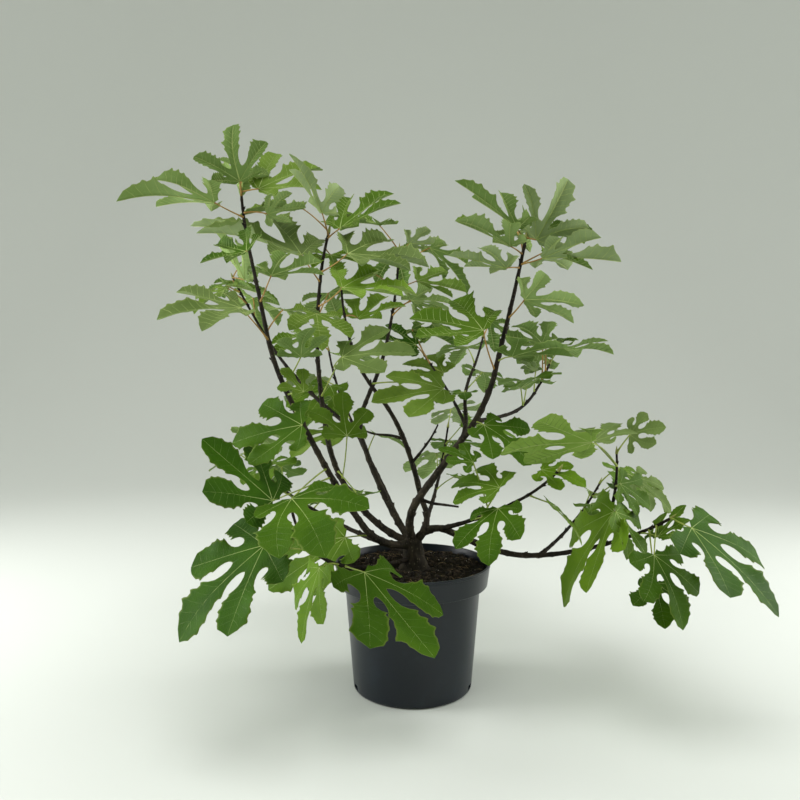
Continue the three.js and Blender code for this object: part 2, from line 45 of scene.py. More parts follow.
# The growth rule that the solids follow, written again. A limb springs from another one, on, at a part of
# its length, and bends through its headings and its leans from upright. Thick is its foot and tip radius.
soilLevel = 116
growthSteps = 16
limbs = {
    "trunk": dict(length=27, heads=(0, 0), leans=(0, 3), thick=(11, 9)),
    "bough_left": dict(on="trunk", at=0.83, length=400, heads=(-150, -146, -170, -178, -212, -214, -236),
        leans=(94, 36, 28, 26, 14, 16, 10), thick=(3.5, 1.2)),
    "bough_inner_left": dict(on="trunk", at=0.83, length=347, heads=(166, 168, 156, 126, 56, 30),
        leans=(72, 40, 12, 8, 6, 16), thick=(3.4, 1.3)),
    "bough_rear": dict(on="trunk", at=0.83, length=331, heads=(142, 140, 140, 22, 62, 64, 68),
        leans=(46, 34, 26, 26, 26, 18, 8), thick=(3.4, 1)),
    "bough_centre": dict(on="trunk", at=0.83, length=273, heads=(-50, 212, 202, 184, 136, 148),
        leans=(44, 14, 22, 38, 22, 4), thick=(3.1, 1)),
    "bough_right": dict(on="trunk", at=0.83, length=322, heads=(-136, -8, -14, 10, 30, 34),
        leans=(22, 36, 36, 14, 16, 14), thick=(3.9, 1.4)),
    "bough_low_right": dict(on="trunk", at=0.78, length=262, heads=(-6, -6, -10, -18, -26, -34, -46),
        leans=(20, 116, 106, 82, 72, 64, 56), thick=(3.6, 1.2)),
    "bough_back": dict(on="trunk", at=0.83, length=289, heads=(112, 108, 124, 128, 126),
        leans=(72, 62, 46, 38, 18), thick=(3.1, 1.1)),
    "bough_low_front": dict(on="trunk", at=0.33, length=181, heads=(-124, -140, -134, -126, -124),
        leans=(88, 88, 72, 48, 16), thick=(2.1, 1.1)),
    "bough_rear_left": dict(on="bough_rear", at=0.37, length=238, heads=(156, 150, 148, 152),
        leans=(58, 52, 38, 32), thick=(2.2, 1.1)),
    "bough_rear_right": dict(on="bough_right", at=0.38, length=173, heads=(72, 90, 66, 70),
        leans=(72, 54, 54, 42), thick=(2.3, 1.1)),
    "bough_right_side": dict(on="bough_right", at=0.45, length=128, heads=(36, 38, 46, 52),
        leans=(88, 80, 50, 40), thick=(2, 1.1)),
    "bough_rear_middle": dict(on="bough_rear_right", at=0.18, length=161, heads=(96, 104, 112),
        leans=(70, 66, 60), thick=(1.7, 1)),
    "bough_front_right": dict(on="bough_low_right", at=0.13, length=139, heads=(-36, -34, -36, -32),
        leans=(72, 66, 60, 42), thick=(2.1, 1.1)),
    "twig_upright": dict(on="bough_low_right", at=0.73, length=86, heads=(-28, -4, 112), leans=(16, 10, 4),
        thick=(1.8, 1)),
    "twig_bare_right": dict(on="bough_centre", at=0.32, length=52, heads=(-36, -44, -62),
        leans=(44, 42, 38), thick=(1.3, 0.8)),
    "twig_bare_left": dict(on="bough_centre", at=0.41, length=43, heads=(176, 162, 154), leans=(66, 92, 64),
        thick=(1.3, 0.8)),
    "twig_bare_low": dict(on="bough_right", at=0.17, length=43, heads=(-10, -38, -44), leans=(112, 88, 90),
        thick=(1.5, 0.9)),
    "bough_low_back": dict(on="trunk", at=0.67, length=245, heads=(78, 78, 78, 76), leans=(86, 74, 60, 40),
        thick=(2.8, 1.1)),
    "bough_low_rear_left": dict(on="trunk", at=0.5, length=235, heads=(140, 146, 150, 154),
        leans=(86, 76, 66, 50), thick=(2.8, 1.1)),
    "twig_low_rear_right": dict(on="bough_low_right", at=0.5, length=120, heads=(48, 44, 40),
        leans=(78, 62, 44), thick=(1.8, 1)),
}

# A mass of leaves sits on its limb's end, from start on, or on a knob: a short shoot at a place along the
# limb, with a heading and a lean. A leaf is its tone, its place along the stem, its stalk's heading, rise
# and length, and its blade's length, heading, fall below level and roll. A fill adds leaves by the rule.
knob = {"length": 9, "footGap": 9}
# Each leaf's tone is partly painted light and shade: leaves lying in shade carry lighter tones, and leaves
# lit at a slant carry darker ones.
masses = {
    "left_top": dict(limb="bough_left", start=0.6, leaves=[
        ("grey", 0.64, -110, 30, 53, 69, -145, 0, -25),
        ("mid", 0.73, -70, 20, 56, 52, -25, -15, -15),
        ("deep", 0.88, -80, -20, 53, 54, 135, -15, -40),
        ("pale", 0.94, -20, -5, 25, 37, 30, -20, -50),
        ("pale", 0.93, -130, 15, 34, 80, -170, -10, 10),
        ("mid", 0.98, -90, 60, 14, 63, -95, -40, 20),
        ("pale", 0.99, 75, 15, 38, 77, 30, -30, 40),
    ], fill=dict(count=2, sweep=(40, 120), size=62, seed=194)),
    "left_middle": dict(limb="bough_left", at=0.51, knob=(-65, 80), leaves=[
        ("deep", 1, -70, -30, 49, 67, 170, 10, -55),
        ("pale", 1, -65, 5, 36, 32, 155, -45, -35),
        ("mid", 1, -60, 55, 40, 43, -80, -40, 5),
    ]),
    "left_low": dict(limb="bough_left", at=0.31, knob=(-115, 105), leaves=[
        ("dark", 1, -125, -10, 67, 77, -170, -45, -40),
        ("deep", 1, -105, -5, 75, 83, -65, 10, 20),
    ]),
    "left_foot": dict(limb="bough_left", at=0.12, knob=(-150, 75), leaves=[
        ("mid", 1, -175, -10, 18, 86, -170, 30, -25),
    ]),
    "inner_top": dict(limb="bough_inner_left", start=0.69, leaves=[
        ("pale", 0.72, -85, 10, 60, 61, -80, 25, -10),
        ("young", 0.78, -60, 15, 57, 78, 20, -5, 25),
        ("grey", 0.85, -130, 45, 35, 123, 165, -25, -15),
        ("grey", 0.88, -45, 20, 43, 87, 20, 0, 35),
        ("mid", 0.98, -40, 25, 19, 79, 30, -40, 20),
        ("fresh", 0.95, 85, -5, 30, 59, -75, 25, 0),
        ("grey", 0.99, -90, 10, 65, 64, -110, -45, -30),
    ], fill=dict(count=2, sweep=(70, 210), size=60, seed=86)),
    "inner_middle": dict(limb="bough_inner_left", at=0.52, knob=(-65, 75), leaves=[
        ("grey", 1, -70, 30, 74, 66, -10, -10, 40),
    ]),
    "inner_low": dict(limb="bough_inner_left", at=0.29, knob=(-75, 75), leaves=[
        ("mid", 1, -80, 40, 66, 55, 105, -50, 0),
        ("deep", 1, -75, -5, 84, 54, -135, -10, 15),
    ]),
    "rear_top": dict(limb="bough_rear", start=0.74, leaves=[
        ("pale", 0.78, -30, 35, 28, 51, -25, 0, -20),
        ("fresh", 0.87, -20, 20, 26, 57, -20, 10, -25),
        ("mid", 0.95, -25, 25, 41, 64, 25, 35, -5),
        ("grey", 0.99, -30, 40, 16, 44, -20, 0, -40),
    ], fill=dict(count=4, sweep=(20, 220), size=58, seed=146)),
    "rear_left": dict(limb="bough_rear_left", start=0.72, leaves=[
        ("mid", 0.92, -155, 25, 17, 61, -5, 10, 0),
        ("pale", 1, -45, -10, 23, 66, -130, -60, -15),
    ], fill=dict(count=4, sweep=(60, 230), size=58, seed=244)),
    "centre_top": dict(limb="bough_centre", start=0.84, leaves=[
        ("young", 0.9, 75, 0, 40, 61, 55, -30, 10),
    ]),
    "centre_middle": dict(limb="bough_centre", at=0.64, knob=(-45, 75), leaves=[
        ("pale", 1, -20, -5, 66, 67, -165, 5, -30),
    ]),
    "right_top": dict(limb="bough_right", start=0.86, leaves=[
        ("grey", 0.91, -130, -5, 23, 56, -165, -15, 15),
        ("grey", 0.92, -40, 10, 23, 75, 10, -5, -15),
        ("pale", 0.95, -140, 20, 18, 65, -145, -25, -5),
        ("mid", 0.99, -120, 25, 21, 71, -165, -40, -5),
        ("grey", 1, -35, -15, 11, 67, -60, -45, -60),
    ], fill=dict(count=3, sweep=(-10, 130), size=54, seed=22)),
    "right_upper": dict(limb="bough_right", at=0.76, knob=(-65, 80), leaves=[
        ("pale", 1, -55, 45, 20, 57, -35, 0, -45),
    ]),
    "right_middle": dict(limb="bough_right", at=0.62, knob=(-90, 75), leaves=[
        ("mid", 1, -135, 55, 36, 78, 150, -15, -35),
        ("mid", 1, -25, 25, 15, 67, -50, -15, -15),
    ]),
    "right_low": dict(limb="bough_right", at=0.45, knob=(-55, 110), leaves=[
        ("deep", 1, -45, 10, 4, 58, -35, 25, 30),
    ]),
    "right_rear": dict(limb="bough_right_side", start=0.46, leaves=[
        ("mid", 0.51, -105, 45, 26, 61, -80, -20, 15),
        ("grey", 0.68, 70, 70, 23, 21, -160, -35, 20),
        ("mid", 0.82, -100, 75, 38, 57, -125, -25, 15),
        ("dark", 0.9, 75, 85, 28, 42, 35, -15, 0),
        ("pale", 0.99, 30, 50, 16, 63, 15, -10, -15),
    ], fill=dict(count=2, sweep=(50, 140), size=52, seed=246)),
    "rear_right": dict(limb="bough_rear_right", start=0.45, leaves=[
        ("deep", 0.5, -105, -5, 10, 42, -135, 5, 0),
    ], fill=dict(count=3, sweep=(30, 120), size=62, seed=119)),
    "rear_centre": dict(limb="bough_rear_middle", start=0.7, leaves=[
        ("pale", 0.82, 5, -25, 13, 57, 145, -20, -30),
        ("dark", 1, -120, 30, 23, 58, -175, -15, -35),
        ("deep", 1, 145, 60, 34, 57, 25, 10, -15),
    ], fill=dict(count=1, sweep=(120, 150), size=54, seed=61)),
    "bough_end": dict(limb="bough_low_right", start=0.84, leaves=[
        ("mid", 0.87, -50, 0, 19, 41, 25, -45, -10),
        ("deep", 0.91, -90, -65, 47, 43, -95, 30, 0),
        ("deep", 0.94, -110, -20, 46, 62, -55, 50, 0),
        ("dark", 1, -75, -5, 29, 92, -30, 35, 10),
    ]),
    "bough_twig": dict(limb="twig_upright", start=0.36, leaves=[
        ("fresh", 0.4, -100, 5, 21, 100, 155, 55, -30),
        ("mid", 0.42, -100, 5, 39, 50, 0, 50, 35),
        ("mid", 0.65, -95, 15, 21, 39, 15, 30, 60),
        ("grey", 0.82, 35, -20, 27, 45, -15, 35, 30),
        ("fresh", 0.86, -120, 20, 86, 74, 175, 0, 35),
        ("grey", 0.86, -130, 30, 53, 52, 50, -20, 0),
        ("grey", 1, -35, 55, 21, 36, -60, -20, 75),
    ]),
    "front_right_end": dict(limb="bough_front_right", start=0.7, leaves=[
        ("young", 0.73, -30, -15, 19, 47, -5, 40, 0),
        ("fresh", 0.92, 150, 40, 11, 41, -30, 5, 25),
    ]),
    "front_right_low": dict(limb="bough_front_right", at=0.34, knob=(-120, 55), leaves=[
        ("deep", 1, -75, 15, 50, 60, -110, 30, 15),
        ("mid", 1, -70, 35, 52, 57, 135, -5, -30),
        ("deep", 1, -105, 60, 58, 33, 165, -30, -35),
    ]),
    "front_left": dict(limb="bough_low_front", start=0.44, leaves=[
        ("deep", 0.49, -60, 5, 38, 92, -45, 30, 0),
        ("fresh", 0.53, -110, 10, 40, 62, -140, 65, 10),
        ("dark", 0.74, -125, 15, 59, 94, -155, 35, -20),
    ]),
    "rear_back": dict(limb="bough_back", start=0.45, leaves=[],
        fill=dict(count=7, sweep=(50, 260), size=64, seed=75)),
    "low_back": dict(limb="bough_low_back", start=0.5, leaves=[],
        fill=dict(count=5, sweep=(-10, 150), size=60, seed=4)),
    "low_rear_left": dict(limb="bough_low_rear_left", start=0.5, leaves=[],
        fill=dict(count=6, sweep=(30, 270), size=60, seed=234)),
    "low_rear_right": dict(limb="twig_low_rear_right", start=0.5, leaves=[],
        fill=dict(count=4, sweep=(-60, 100), size=52, seed=243)),
}
fill = {
    "clearFoot": 0.06, "goldenTurn": 0.618, "scatter": 0.3, "scale": (0.8, 1.15), "stalk": 0.55, "turn": 25,
    "rise": (20, 50), "fall": (0, 35), "roll": 20, "tones": ("mid", "pale", "deep", "mid", "grey", "pale"),
}
wordMask = 0xFFFFFFFF


def unit(vectors):
    # each vector over its own length
    return vectors / np.linalg.norm(vectors, axis=-1, keepdims=True)


def direction(heading, lean):
    # level part sin(lean) turned to the heading, upright part cos(lean)
    heading, lean = np.radians(heading), np.radians(lean)
    parts = (np.sin(lean) * np.cos(heading), np.sin(lean) * np.sin(heading), np.cos(lean))
    return np.stack(np.broadcast_arrays(*parts), -1)


def between(values, fraction):
    # straight lines between evenly spaced values
    return np.interp(fraction, np.linspace(0, 1, len(values)), values)


def pointOn(line, fraction):
    # straight lines between evenly spaced points
    return np.stack([between(line[:, axis], fraction) for axis in range(3)], -1)


def smoothLine(line, fraction):
    # each coordinate is a Catmull-Rom cubic through the line's points
    padded = np.vstack([2 * line[0] - line[1], line, 2 * line[-1] - line[-2]])
    place = np.clip(np.asarray(fraction) * (len(line) - 1), 0, len(line) - 1 - 1e-9)
    first = place.astype(int)
    t = (place - first)[:, None]
    a, b, c, d = (padded[first + k] for k in range(4))
    bends = (2 * a - 5 * b + 4 * c - d) * t ** 2 + (3 * b - a - 3 * c + d) * t ** 3
    return 0.5 * (2 * b + (c - a) * t + bends)


def seededRandom(seed):
    # the same small generator as the solids use, so both grow the same leaves
    state = seed

    def draw():
        nonlocal state
        state = (state + 0x6D2B79F5) & wordMask
        mixed = (state ^ (state >> 15)) * (1 | state) & wordMask
        mixed = ((mixed + ((mixed ^ (mixed >> 7)) * (61 | mixed) & wordMask)) ^ mixed) & wordMask
        return (mixed ^ (mixed >> 14)) / (wordMask + 1)
    return draw


def grow(foot, limb):
    # one short straight step after another, each along its own heading and lean
    fraction = (np.arange(growthSteps) + 0.5) / growthSteps
    ways = direction(between(limb["heads"], fraction), between(limb["leans"], fraction))
    return np.vstack([foot, foot + np.cumsum(ways * limb["length"] / growthSteps, axis=0)])


def filledLeaves(start, count, sweep, size, seed):
    # places evenly spaced up the stem, headings spread over the sweep by the golden turn
    draw, leaves = seededRandom(seed), []
    within = lambda low, high: low + (high - low) * draw()
    first = start + fill["clearFoot"]
    for i in range(count):
        turned = (i * fill["goldenTurn"] + fill["scatter"] * draw()) % 1
        heading = sweep[0] + (sweep[1] - sweep[0]) * turned
        length = size * within(*fill["scale"])
        up = i / (count - 1) if count > 1 else 0.5
        leaves.append([
            fill["tones"][i % len(fill["tones"])], first + (1 - first) * up,
            heading, within(*fill["rise"]), length * fill["stalk"],
            length, heading + within(-fill["turn"], fill["turn"]), within(*fill["fall"]),
            within(-fill["roll"], fill["roll"]),
        ])
    return leaves


lines = {}
for name, limb in limbs.items():
    foot = pointOn(lines[limb["on"]], limb["at"]) if "on" in limb else np.array([0, 0, soilLevel])
    lines[name] = grow(foot, limb)

leafRows, stalkFeet, leafMass, leafTones = [], [], [], []
for name, mass in masses.items():
    line = lines[mass["limb"]]
    grown = mass["leaves"] + (filledLeaves(mass["start"], **mass["fill"]) if "fill" in mass else [])
    for i, (tone, place, *row) in enumerate(grown):
        attach = foot = pointOn(line, place)
        if "knob" in mass:
            attach = pointOn(line, mass["at"]) + direction(*mass["knob"]) * knob["length"]
            shift = (i - (len(grown) - 1) / 2) * knob["footGap"] / limbs[mass["limb"]]["length"]
            foot = pointOn(line, mass["at"] + shift)
        leafRows.append([*attach, *row])
        stalkFeet.append(foot)
        leafMass.append("leaves_" + name)
        leafTones.append(tone)
leafRows, stalkFeet = np.array(leafRows), np.array(stalkFeet)
print("grown,", len(lines), "limbs and", len(leafRows), "leaves")

latticeHash = {
    "shift": 17.3, "axes": (374761393, 668265263, 2147483647), "seed": 1442695041, "mix": 1274126177,
}


def noise3(points, size, seed):
    # smooth value noise: hashed corners of a cube lattice, blended by 3t^2 - 2t^3, from -1 to 1
    place = np.asarray(points) / size + latticeHash["shift"] * seed
    cell = np.floor(place).astype(np.int64)
    t = place - cell
    t = t * t * (3 - 2 * t)
    total = np.zeros(place.shape[:-1])
    for corner in range(8):
        pick = np.array([corner & 1, (corner >> 1) & 1, corner >> 2])
        mixed = ((cell + pick) * np.array(latticeHash["axes"])).sum(-1) + seed * latticeHash["seed"]
        mixed = (mixed ^ (mixed >> 13)) * latticeHash["mix"] & wordMask
        value = ((mixed ^ (mixed >> 16)) & wordMask) / wordMask
        total += value * np.prod(np.where(pick, t, 1 - t), -1)
    return 2 * total - 1


def linked(name, data):
    # a new object with this data, in the scene
    thing = bpy.data.objects.new(name, data)
    bpy.context.scene.collection.objects.link(thing)
    return thing


def makePiece(name, points, faces, materials, slotName, facesMaterial=None, values=None):
    # one mesh from arrays: points in millimetres, and face arrays with three, four or more corners a row
    mesh = bpy.data.meshes.new(name)
    points = np.asarray(points, float).reshape(-1, 3) * mm
    corners = np.concatenate([part.ravel() for part in faces])
    counts = np.concatenate([np.full(len(part), part.shape[1]) for part in faces])
    mesh.vertices.add(len(points))
    mesh.vertices.foreach_set("co", points.ravel())
    mesh.loops.add(len(corners))
    mesh.loops.foreach_set("vertex_index", corners.astype(np.int32))
    mesh.polygons.add(len(counts))
    mesh.polygons.foreach_set("loop_start", (np.cumsum(counts) - counts).astype(np.int32))
    if facesMaterial is not None:
        mesh.polygons.foreach_set("material_index", facesMaterial.astype(np.int32))
    mesh.update(calc_edges=True)
    mesh.shade_smooth()
    for key, value in (values or {}).items():
        layer = mesh.attributes.new(key, "FLOAT", "POINT")
        layer.data.foreach_set("value", value.astype(np.float32).ravel())
    for material in materials:
        mesh.materials.append(material)
    piece = linked(name, mesh)
    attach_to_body(piece, "root")
    return piece


def gridFaces(count, rows, columns, closed=False):
    # quads between neighbours on each of count grids, closed ones joining the last column to the first
    row, column = np.meshgrid(np.arange(rows - 1), np.arange(columns - (not closed)), indexing="ij")
    after = (column + 1) % columns
    quad = np.stack([row * columns + column, row * columns + after,
                     (row + 1) * columns + after, (row + 1) * columns + column], -1).reshape(-1, 4)
    return (np.arange(count)[:, None, None] * rows * columns + quad).reshape(-1, 4)


def tubePoints(centres, radii, level, sides, swell=0.0):
    # centre + radius * (cos a * outward + sin a * sideways), outward square to the way ahead and to level
    ahead = unit(np.gradient(centres, axis=1))
    outward = unit(np.cross(ahead, level[:, None]))
    sideways = np.cross(ahead, outward)
    angle = 2 * np.pi * np.arange(sides) / sides
    ring = outward[:, :, None] * np.cos(angle)[:, None] + sideways[:, :, None] * np.sin(angle)[:, None]
    reach = radii[:, :, None] * (1 + np.broadcast_to(swell, radii.shape + (sides,)))
    return centres[:, :, None] + reach[..., None] * ring


def tubeFaces(count, rings, sides):
    # the wall's quads, and one flat cap at each end of each tube
    start = np.arange(count)[:, None] * rings * sides + np.arange(sides)
    return [gridFaces(count, rings, sides, closed=True), start[:, ::-1], start + (rings - 1) * sides]


def joinParts(parts):
    # stacks (points, faces) pairs into one, shifting each part's corner numbers past the points before it
    points, faces, first = [], [], 0
    for partPoints, partFaces in parts:
        points.append(partPoints.reshape(-1, 3))
        faces += [part + first for part in partFaces]
        first += len(points[-1])
    return np.vstack(points), faces


cubeCorners = np.array([[x, y, z] for x in (-1, 1) for y in (-1, 1) for z in (-1, 1)], float)
cubeSides = np.array([[0, 1, 3, 2], [4, 6, 7, 5], [0, 4, 5, 1], [2, 3, 7, 6], [0, 2, 6, 4], [1, 5, 7, 3]])


def cubes(centres, shapes, axes):
    # eight corners each, centre + shape turned into its own axes, and six sides
    points = centres[:, None] + np.einsum("nij,njk->nik", shapes, axes)
    return points, [(8 * np.arange(len(centres))[:, None, None] + cubeSides).reshape(-1, 4)]


class Value:
    # wraps a socket, so that sums on values add their Math nodes
    def __init__(self, tree, socket):
        self.tree, self.socket = tree, socket

    def math(self, operation, first, second):
        return self.tree.node("ShaderNodeMath", {"operation": operation}, {0: first, 1: second})

    def __add__(self, other):
        return self.math("ADD", self, other)

    __radd__ = __add__

    def __rsub__(self, other):
        return self.math("SUBTRACT", other, self)

    def __mul__(self, other):
        return self.math("MULTIPLY", self, other)

    __rmul__ = __mul__

    def clamped(self):
        return self.tree.node("ShaderNodeClamp", {}, {0: self})


class Finish:
    # one material: plain numbers go on the sockets, values that vary are linked
    def __init__(self, name, **plain):
        self.material = bpy.data.materials.new(name)
        self.material.use_nodes = True
        self.nodes, self.links = self.material.node_tree.nodes, self.material.node_tree.links
        self.shader = self.nodes["Principled BSDF"]
        self.place = self.node("ShaderNodeTexCoord", {}, {}, "Object")
        self.set(**plain)

    def node(self, kind, settings, inputs, output=0):
        node = self.nodes.new(kind)
        for key, value in settings.items():
            setattr(node, key, value)
        for key, value in inputs.items():
            self.feed(node.inputs[key], value)
        return Value(self, node.outputs[output])

    def feed(self, socket, value):
        if isinstance(value, Value):
            self.links.new(value.socket, socket)
        elif socket.type == "RGBA":
            socket.default_value = (*value, 1)
        else:
            socket.default_value = value

    def set(self, **inputs):
        for key, value in inputs.items():
            self.feed(self.shader.inputs[key.replace("_", " ")], value)

    def stretched(self, scale):
        return self.node("ShaderNodeMapping", {}, {"Vector": self.place, "Scale": scale}, "Vector")

    def noise(self, scale, detail=3.0, roughness=0.55, place=None):
        return self.node("ShaderNodeTexNoise", {}, {
            "Vector": place or self.place, "Scale": scale, "Detail": detail, "Roughness": roughness}, "Fac")

    def cells(self, scale, feature="F1", place=None):
        return self.node("ShaderNodeTexVoronoi", {"feature": feature}, {
            "Vector": place or self.place, "Scale": scale}, "Distance")

    def attribute(self, name):
        return self.node("ShaderNodeAttribute", {"attribute_name": name}, {}, "Fac")

    def ramp(self, value, low, high):
        # 0 below low, 1 above high, eased between
        return self.node("ShaderNodeMapRange", {"interpolation_type": "SMOOTHSTEP"}, {
            "Value": value, "From Min": low, "From Max": high}, "Result")

    def mix(self, factor, first, second):
        # 6, 7 and 2 are the node's colour sockets
        return self.node("ShaderNodeMix", {"data_type": "RGBA"}, {0: factor, 6: first, 7: second}, 2)

    def blend(self, factor, span, colours):
        # the first screen colour below the span, the second one above it
        return self.mix(self.ramp(factor, *span), colour(*colours[0]), colour(*colours[1]))

    def bump(self, height, distance):
        self.set(Normal=self.node("ShaderNodeBump", {}, {"Height": height, "Distance": distance}, "Normal"))


def colour(red, green, blue):
    # screen values from 0 to 255 as linear light
    return tuple(c / 12.92 if c <= 0.04045 else ((c + 0.055) / 1.055) ** 2.4
                 for c in (red / 255, green / 255, blue / 255))


leafLook = {
    "gloss": 0.07, "patchScale": 22.0, "patchSpan": (0.35, 0.65), "patchPart": 0.65, "fleckScale": 260.0,
    "fleckRoughness": 0.12, "fleckRelief": 0.6, "netScale": 620.0, "netSpan": (0.0, 0.25),
    "margin": (150, 160, 80), "marginSpan": (0.86, 1.0), "marginPart": 0.25,
    "top": (0.48, 0.00012), "under": (0.72, 0.0002),
}
greens = {
    # tone: pale top, deep top, pale underside, deep underside. Dark, deep, mid and pale are partly the
    # leaves' own greens and partly painted light and shade: lit and shaded copies of one green
    # the underside greens are partly the leaves' own paler undersides and partly painted light, lifted
    # because the undersides get less light
    "dark": ((55, 91, 10), (37, 68, 4), (104, 134, 68), (78, 110, 42)),
    "deep": ((70, 103, 16), (49, 81, 5), (112, 142, 74), (86, 118, 46)),
    "mid": ((88, 118, 30), (63, 94, 11), (130, 156, 90), (102, 130, 60)),
    "pale": ((112, 138, 56), (82, 110, 24), (148, 172, 108), (120, 146, 76)),
    # grey is a painted sheen: a pale grey-green in place of the silvery light that glances off some leaves
    "grey": ((112, 132, 74), (86, 108, 46), (160, 178, 128), (132, 152, 98)),
    "fresh": ((106, 140, 32), (82, 116, 12), (144, 172, 84), (114, 146, 56)),
    "young": ((126, 158, 56), (96, 130, 30), (156, 182, 98), (126, 156, 70)),
}


def leafFinish(name, pale, deep, roughness, relief):
    # two greens in broad soft patches under fine flecks, paler at the margin, over a netted skin
    look = leafLook
    finish = Finish(name, Specular_IOR_Level=look["gloss"])
    patches = finish.ramp(finish.noise(look["patchScale"]), *look["patchSpan"])
    flecks = finish.noise(look["fleckScale"], detail=2.0)
    shade = (look["patchPart"] * patches + (1 - look["patchPart"]) * flecks).clamped()
    green = finish.mix(shade, colour(*deep), colour(*pale))
    margin = finish.ramp(finish.attribute("margin"), *look["marginSpan"])
    finish.set(Base_Color=finish.mix(look["marginPart"] * margin, green, colour(*look["margin"])),
               Roughness=roughness + look["fleckRoughness"] * flecks)
    net = finish.ramp(finish.cells(look["netScale"], "DISTANCE_TO_EDGE"), *look["netSpan"])
    finish.bump(net + look["fleckRelief"] * flecks, relief)
    return finish.material


leafMaterials = {}
for tone, shades in greens.items():
    leafMaterials[tone] = [leafFinish("leafTop" + tone.title(), *shades[:2], *leafLook["top"]),
                           leafFinish("leafUnder" + tone.title(), *shades[2:], *leafLook["under"])]

plainLooks = {
    # pale, deep, patch scale, roughness, relief in metres
    "veinPale": ((178, 192, 120), (146, 168, 88), 120.0, 0.5, 0.00005),
    "veinFaint": ((88, 120, 40), (68, 98, 24), 120.0, 0.5, 0.00005),
    "stalkAmber": ((176, 138, 70), (136, 104, 46), 160.0, 0.45, 0.00005),
    "stalkGreen": ((152, 164, 74), (112, 132, 48), 160.0, 0.45, 0.00005),
    "budGreen": ((150, 158, 84), (112, 112, 52), 300.0, 0.5, 0.0001),
    "fibrePale": ((128, 110, 76), (78, 64, 42), 260.0, 0.8, 0.0001),
    "crumbDark": ((56, 46, 32), (14, 12, 8), 90.0, 0.95, 0.0003),
    "gritPale": ((196, 190, 176), (142, 134, 118), 500.0, 0.8, 0.0001),
}
plainShared = {"gloss": 0.3, "span": (0.3, 0.7)}


def plainFinish(name, pale, deep, scale, roughness, relief):
    # two plain colours in small patches with a matching bump
    finish = Finish(name, Specular_IOR_Level=plainShared["gloss"], Roughness=roughness)
    patches = finish.noise(scale)
    finish.set(Base_Color=finish.blend(patches, plainShared["span"], (deep, pale)))
    finish.bump(patches, relief)
    return finish.material


plain = {name: plainFinish(name, *look) for name, look in plainLooks.items()}

barkLook = {
    "gloss": 0.15, "old": ((20, 17, 12), (64, 57, 45)), "young": ((13, 11, 8), (44, 37, 28)),
    "span": (0.3, 0.7), "streakStretch": (420.0, 420.0, 90.0), "patchScale": 70.0, "patchPart": 0.55,
    "pore": (112, 104, 86), "poreScale": 330.0, "poreStretch": (1.0, 1.0, 0.7), "poreSpan": (0.16, 0.26),
    "porePart": 0.3,
    "roughness": 0.62, "streakRoughness": 0.25, "patchRelief": 0.5, "poreRelief": 0.4, "relief": 0.0007,
}


def barkFinish():
    # grey-brown old wood into darker red-brown shoots by the age value, streaked along, with pale pores
    look = barkLook
    finish = Finish("bark", Specular_IOR_Level=look["gloss"])
    streaks = finish.noise(1.0, detail=4.0, place=finish.stretched(look["streakStretch"]))
    patches = finish.noise(look["patchScale"])
    cells = finish.cells(look["poreScale"], place=finish.stretched(look["poreStretch"]))
    pores = 1 - finish.ramp(cells, *look["poreSpan"])
    shade = (look["patchPart"] * patches + (1 - look["patchPart"]) * streaks).clamped()
    old, young = (finish.blend(shade, look["span"], look[age]) for age in ("old", "young"))
    wood = finish.mix(finish.attribute("age"), young, old)
    finish.set(Base_Color=finish.mix(look["porePart"] * pores, wood, colour(*look["pore"])),
               Roughness=look["roughness"] + look["streakRoughness"] * streaks)
    finish.bump(streaks + look["patchRelief"] * patches + look["poreRelief"] * pores, look["relief"])
    return finish.material


plasticLook = {
    "gloss": 0.42, "deep": (14, 22, 31), "dust": (42, 54, 65), "dustScale": 34.0, "dustSpan": (0.52, 0.82),
    "dustPart": 0.3, "scuffScale": 9.0, "scuffStretch": (1.0, 1.0, 0.25), "roughness": 0.27,
    "scuffRoughness": 0.14, "dustRoughness": 0.08, "pebbleScale": 1400.0, "relief": 0.00002,
}


def plasticFinish():
    # charcoal moulded plastic: an even grey-blue with fine dull scuffs and a faint pebble
    look = plasticLook
    finish = Finish("potPlastic", Specular_IOR_Level=look["gloss"])
    place = finish.stretched(look["scuffStretch"])
    scuffs = finish.noise(look["scuffScale"], detail=5.0, roughness=0.7, place=place)
    dust = finish.ramp(finish.noise(look["dustScale"], detail=4.0, roughness=0.65), *look["dustSpan"])
    finish.set(Base_Color=finish.mix(look["dustPart"] * dust, colour(*look["deep"]), colour(*look["dust"])),
               Roughness=look["roughness"] + look["scuffRoughness"] * scuffs + look["dustRoughness"] * dust)
    finish.bump(finish.noise(look["pebbleScale"], detail=2.0), look["relief"])
    return finish.material


compostLook = {
    "gloss": 0.08, "roughness": 0.95, "colours": ((8, 7, 4), (42, 36, 24)), "span": (0.36, 0.68),
    "clodScale": 160.0, "clodPart": 0.7, "fineScale": 900.0, "fineRelief": 0.5, "relief": 0.0022,
}


def compostFinish():
    # near-black peat with brown clods, all of it rough
    look = compostLook
    finish = Finish("compost", Specular_IOR_Level=look["gloss"], Roughness=look["roughness"])
    clods = finish.noise(look["clodScale"], detail=6.0, roughness=0.7)
    fine = finish.noise(look["fineScale"])
    shade = look["clodPart"] * clods + (1 - look["clodPart"]) * fine
    finish.set(Base_Color=finish.blend(shade, look["span"], look["colours"]))
    finish.bump(clods + look["fineRelief"] * fine, look["relief"])
    return finish.material


barkMaterial, potMaterial, compostMaterial = barkFinish(), plasticFinish(), compostFinish()
print("materials made")


def revolve(radius, height, columns):
    # every profile point turned about the upright axis: (r cos a, r sin a, h)
    angle = 2 * np.pi * np.arange(columns) / columns
    return np.stack(np.broadcast_arrays(radius * np.cos(angle), radius * np.sin(angle), height), -1)


